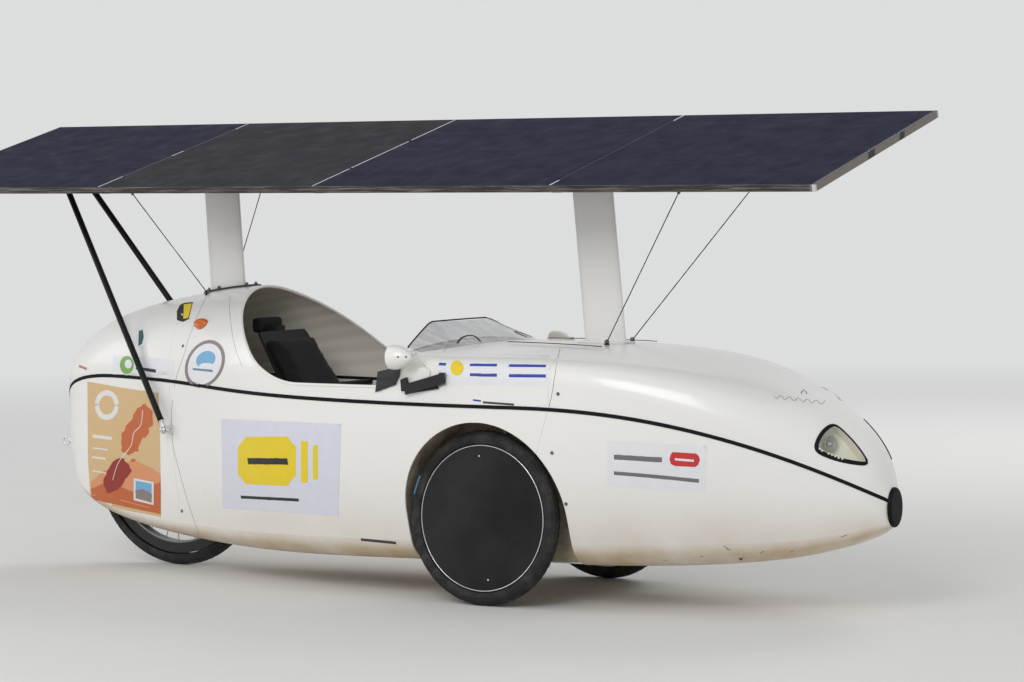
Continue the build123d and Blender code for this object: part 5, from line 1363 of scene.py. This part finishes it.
def rear_struts():
    black = materials["frame_black"]
    routes, shanks, sleeves, cheeks, eyes = [], [], [], [], []
    for side in (1, -1):
        top = Vector((STRUT_TOP.x, side * STRUT_TOP.y, STRUT_TOP.z))
        foot = Vector((STRUT_FOOT.x, side * STRUT_FOOT.y, STRUT_FOOT.z))
        up = (top - foot).normalized()
        routes.append([top, foot + up * SLEEVE_AT])
        shanks.append([foot + up * end for end in SHANK_ENDS])
        sleeves.append((foot + up * SLEEVE_AT, up))
        cheeks += [(foot + Vector((shift, -side * CHEEK_INWARD, 0.0)), NO_TURN) for shift in CHEEK_SHIFTS]
        eyes.append((foot, X_AXIS))
    add(tube("rear_strut_tubes", routes, STRUT_RADIUS, black, 20, step=0.03), "frame_black", "rear_struts")
    add(tube("strut_shanks", shanks, 0.005, bright_metal, 14, step=0.01), "steel")
    add(turned("strut_lock_nuts", LOCK_NUT, sleeves, bright_metal, 6, smooth=False), "steel")
    block("strut_cheeks", cheeks, CHEEK_SIZE, bright_metal, 0.0012)
    add(turned("strut_bolts", STRUT_PIN, eyes, bright_metal, 18), "steel")
    add(turned("strut_rod_ends", ROD_END, eyes, bright_metal, 22), "steel")
    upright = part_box("rear_struts")[1][2] - 0.004 - CLAMP_FOOT
    clamp = {
        "strut_clamp_1": (1.216, (0.025, 0.115, 0.019)),
        "strut_clamp_2": (CLAMP_FOOT + upright / 2, (0.0255, 0.052, upright)),
    }
    for name, (z, size) in clamp.items():
        block(name, [(Vector((STRUT_TOP.x, 0.0, z)), NO_TURN)], size, black, 0.003)
    heads = [(Vector((STRUT_TOP.x, y, 1.2065)), -Z_AXIS) for y in (-0.038, 0.038)]
    add(turned("strut_clamp_bolts", CLAMP_HEAD, heads, bright_metal, 6, smooth=False), "steel")


rear_struts()

# Mirrors: curved white arms, ball joints, screws in the pods
ARM = [(0.3575, 0.3665, 0.6605), (0.3585, 0.395, 0.682), (0.3595, 0.414, 0.7)]
NECK = [(0.3595, 0.414, 0.7), (0.356, 0.4195, 0.7085), (0.3455, 0.4205, 0.7055)]
BALL_PLACE = Vector((0.3585, 0.4155, 0.7035))
BALL = [(0.0, -0.0052), (0.0037, -0.0037), (0.0052, 0.0), (0.0037, 0.0037), (0.0, 0.0052)]
POD_SCREWS = ((398, 357), (406, 357))
POD_HEAD = [(0.0, 0.0002), (0.0012, 0.0002), (0.0014, 0.0008), (0.0026, 0.0006), (0.003, -0.0006)]


def arm_radius(share):
    return 0.0062 - 0.0022 * share


def side_routes(route):
    return [[(x, side * y, z) for x, y, z in route] for side in (1, -1)]


def mirrors():
    arms = tube("mirror_arms", side_routes(ARM), arm_radius, white_paint, 16, step=0.004)
    add(arms, "body_white", "mirror_stalks")
    add(tube("mirror_necks", side_routes(NECK), 0.0033, bright_metal, 14, step=0.003), "chrome")
    add(turned("mirror_ball_joints", BALL, both_sides(BALL_PLACE, Z_AXIS), bright_metal, 16), "chrome")
    pod_tree = merged_tree(["mirror_pods"])
    screws = []
    for px, py in POD_SCREWS:
        hit, normal, _, _ = pod_tree.ray_cast(CAMERA_PLACE, sight(px, py))
        if normal.dot(sight(px, py)) > 0:
            normal = -normal
        screws += both_sides(hit, normal)
    add(turned("mirror_pod_screws", POD_HEAD, screws, screw_metal, 14), "steel")


mirrors()


# Repair with tape at the right mirror, and a torn film flap at the opening
def flat_patch(name, outline, anchor, material, lift, thickness):
    """Flat piece over the shell, on the plane that touches the shell at one point."""
    place, normal = on_body(*anchor)
    place = place + normal * lift
    count = len(outline)
    points = []
    for px, py in outline:
        direction = sight(px, py)
        reach = (place - CAMERA_PLACE).dot(normal) / direction.dot(normal)
        points.append(CAMERA_PLACE + direction * reach)
    points += [point - normal * thickness for point in points]
    faces = [list(range(count)), list(reversed(range(count, 2 * count)))]
    for index in range(count):
        following = (index + 1) % count
        faces.append([index, count + index, count + following, following])
    made = mesh_object(name, points, faces, material)
    face_outward(made)
    edge = made.modifiers.new("edge", "BEVEL")
    edge.width = min(0.0008, thickness * 0.3)
    edge.segments = 2
    add(made)


BASE_PLATE = [(412.5, 384), (417.5, 369), (423, 366.5), (430, 371), (428, 386)]
TAPE_END = [(439, 376.5), (446.8, 374.5), (445, 385), (437, 388)]
TAPE_ROLL = [(400, 379.5), (405.5, 377.5), (408.5, 391), (401, 391.5)]
TAPE_LOW = [(409, 386), (436, 381), (438, 389), (410, 393.5)]
TAPE_HIGH = [(403.5, 384.5), (443, 372.7), (445.3, 383.2), (405, 395)]
FLAP = [(375, 392.5), (377.5, 371.5), (401, 366), (399.5, 376), (395.5, 385)]
PATCHES = {
    # name: (outline and touching point in photo pixels, material, lift, thickness)
    "mirror_base_plate": (BASE_PLATE, (420, 378), white_paint, 0.004, 0.004),
    "tape_end_grey": (TAPE_END, (441, 381), grey_tape, 0.003, 0.0025),
    "tape_roll": (TAPE_ROLL, (405, 386), tape, 0.012, 0.011),
    "tape_strip_low": (TAPE_LOW, (424, 386), tape, 0.006, 0.005),
    "tape_strip_high": (TAPE_HIGH, (424, 384), tape, 0.013, 0.003),
    "film_flap": (FLAP, (390, 389), smoked_film(), 0.004, 0.0008),
}
for name, patch in PATCHES.items():
    flat_patch(name, *patch)


# Windscreen trim: the screen's rear edge leans back as it rises
SCREEN_EDGE_X = 0.262
SCREEN_EDGE_Z = 0.712
SCREEN_EDGE_LEAN = 0.532
SCREEN_EDGE_DEPTH = 0.003
SCREEN_EDGE_STEP = 0.09
SCREEN_CENTRE_Z = 0.6


def screen_trim():
    """Thin black trim along the outermost points of the windscreen's rear edge."""
    outermost = {}
    for vertex in nodes["windscreen"].data.vertices:
        place = vertex.co.copy()
        edge_x = SCREEN_EDGE_X - (place.z - SCREEN_EDGE_Z) * SCREEN_EDGE_LEAN
        if abs(place.x - edge_x) >= SCREEN_EDGE_DEPTH:
            continue
        key = round(math.atan2(place.y, place.z - SCREEN_CENTRE_Z) / SCREEN_EDGE_STEP)
        reach = (place - Vector((place.x, 0.0, SCREEN_CENTRE_Z))).length
        if key not in outermost or reach > outermost[key][0]:
            outermost[key] = (reach, place)
    route = [outermost[key][1] for key in sorted(outermost)]
    add(tube("screen_trim", [route], 0.0022, materials["black_rubber"], 8, step=0.02), "black_rubber")


screen_trim()

# Bolts of the rear mast's foot, and eye bolts of the cords
FOOT_BOLT = [
    (0.0, 0.0085), (0.0026, 0.0085), (0.0026, 0.005), (0.0055, 0.005), (0.0055, 0.001), (0.0072, 0.0008),
    (0.0072, -0.002),
]
FOOT_SHARES = (0.08, 0.3, 0.92)


def mast_foot_bolts():
    tree = merged_tree(["mast_feet"])
    low, high = islands("mast_feet")[0]
    bolts = []
    for share in FOOT_SHARES:
        for side in (1, -1):
            x = low.x + (high.x - low.x) * share
            above = Vector((x, side * (high.y - 0.009), high.z + 0.1))
            hit, _, _, _ = tree.ray_cast(above, -Z_AXIS)
            if hit is not None:
                bolts.append((hit, Z_AXIS))
    add(turned("mast_foot_bolts", FOOT_BOLT, bolts, screw_metal, 12, smooth=False), "steel")


def body_of(node_name):
    """Name of the CAD body that a node rides on."""
    return next(name for name, empty in frame["bodies"].items() if nodes[node_name].parent is empty)


def ring_section(radius, wire, depth, steps):
    """Section of a round ring for turned(), about its own axis."""
    section = []
    for step in range(steps + 1):
        angle = 2 * math.pi * step / steps
        section.append((radius + wire * math.cos(angle), depth * math.sin(angle)))
    return section


def eye_bolts(name, node_name, way):
    """Small eye bolts in place of a node's fixing blocks, rising along the way from their feet."""
    pieces = islands(node_name)
    feet, rings = [], []
    for low, high in pieces:
        middle = (low + high) / 2
        feet.append((Vector((middle.x, middle.y, low.z if way > 0 else high.z)), Z_AXIS * way))
        rings.append((middle, Y_AXIS))
    half = (pieces[0][1].z - pieces[0][0].z) / 2
    shares = ((0.0, 0.9), (0.34, 0.8), (0.4, 0.35), (0.85, 0.3), (0.9, 0.0), (0.0, 0.0))
    washer = [(half * radius, half * height) for radius, height in shares]
    torus = [(half * radius, half * height) for radius, height in ring_section(0.66, 0.28, 0.28, 12)]
    body = body_of(node_name)
    washers = turned(name + "_washers", washer, feet, materials["frame_black"], 20)
    add(washers, "frame_black", node_name, body=body)
    add(turned(name + "_rings", torus, rings, screw_metal, 22), "steel", body=body)


mast_foot_bolts()
eye_bolts("deck_eye_bolts", "deck_cord_posts", 1.0)
eye_bolts("roof_eye_bolts", "roof_cord_eyes", -1.0)


# Padded seat and headrest
def settled(made):
    """Bake the piece's modifiers into its mesh."""
    graph = bpy.context.evaluated_depsgraph_get()
    mesh = bpy.data.meshes.new_from_object(made.evaluated_get(graph))
    made.modifiers.clear()
    before = made.data
    made.data = mesh
    bpy.data.meshes.remove(before)


CLOTH_FRAMES = 20
SWELL = 0.006


def blown_up(made, cap):
    """Swell the piece as cloth under pressure, with no point moved further than the cap."""
    start = [vertex.co.copy() for vertex in made.data.vertices]
    cloth = made.modifiers.new("cloth", "CLOTH")
    cloth.settings.quality = 4
    cloth.settings.use_pressure = True
    cloth.settings.uniform_pressure_force = 4.0
    cloth.settings.effector_weights.gravity = 0.0
    cloth.point_cache.frame_start = 1
    cloth.point_cache.frame_end = CLOTH_FRAMES
    for frame_number in range(1, CLOTH_FRAMES + 1):
        bpy.context.scene.frame_set(frame_number)
    settled(made)
    for vertex, before in zip(made.data.vertices, start):
        moved = vertex.co - before
        if moved.length > cap:
            vertex.co = before + moved.normalized() * cap
    bpy.context.scene.frame_set(1)


def cushion(name, source, voxel, cap, slot):
    """Padding grown from a CAD solid: remeshed, blown up as cloth and smoothed."""
    made = bpy.data.objects.new(name, nodes[source].data.copy())
    bpy.context.scene.collection.objects.link(made)
    remesh = made.modifiers.new("remesh", "REMESH")
    remesh.mode = "VOXEL"
    remesh.voxel_size = voxel
    relaxed = made.modifiers.new("relaxed", "SMOOTH")
    relaxed.factor = 0.5
    relaxed.iterations = 6
    settled(made)
    blown_up(made, cap)
    low, high = box_corners(source)
    for vertex in made.data.vertices:
        for axis in range(3):
            vertex.co[axis] = min(max(vertex.co[axis], low[axis] - SWELL), high[axis] + SWELL)
    made.data.polygons.foreach_set("use_smooth", [True] * len(made.data.polygons))
    finer = made.modifiers.new("finer", "SUBSURF")
    finer.levels = finer.render_levels = 1
    settled(made)
    made.data.materials.clear()
    made.data.materials.append(materials["seat_fabric"])
    add(made, slot, source)


cushion("seat_cushion", "seat_pad", 0.007, 0.009, "seat_fabric")
cushion("headrest_cushion", "headrest", 0.005, 0.006, "seat_fabric")


# Cords and tow ring
def tilt_cords():
    """Taut cords from the deck to the roof's edge."""
    cord = materials["cord_black"]
    eyes = islands("roof_cord_eyes")
    for number, deck in enumerate(islands("deck_cord_posts")):
        deck_place = (deck[0] + deck[1]) / 2
        same = [eye for eye in eyes if eye[0].y * deck_place.y > 0 and eye[0].x * deck_place.x > 0]
        eye_place = (same[0][0] + same[0][1]) / 2
        line = [deck_place.lerp(eye_place, step / 24) for step in range(25)]
        made = tube(f"tilt_cord_{number + 1}", [line], 0.0014, cord, 8, step=0.012, wobble=0.25)
        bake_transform(made)
        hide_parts("tilt_cords")


def tow_ring():
    """Round steel eye on a short shank at the tail."""
    low, high = box_corners("tow_eye")
    outer = (high.z - low.z) / 2
    centre = Vector((low.x + outer, 0.0, (low.z + high.z) / 2))
    wire, half_depth = 0.0034, 0.0024
    section = ring_section(outer - wire, wire, half_depth, 16)
    add(turned("tow_ring", section, [(centre, Y_AXIS)], bright_metal, 40), "steel", "tow_eye")
    shank = [(centre.x + outer - 0.004, 0.0, centre.z), (high.x, 0.0, centre.z)]
    add(tube("tow_ring_shank", [shank], half_depth, bright_metal, 14, step=0.004), "steel")


tilt_cords()
tow_ring()

bpy.context.scene.view_settings.view_transform = "Standard"
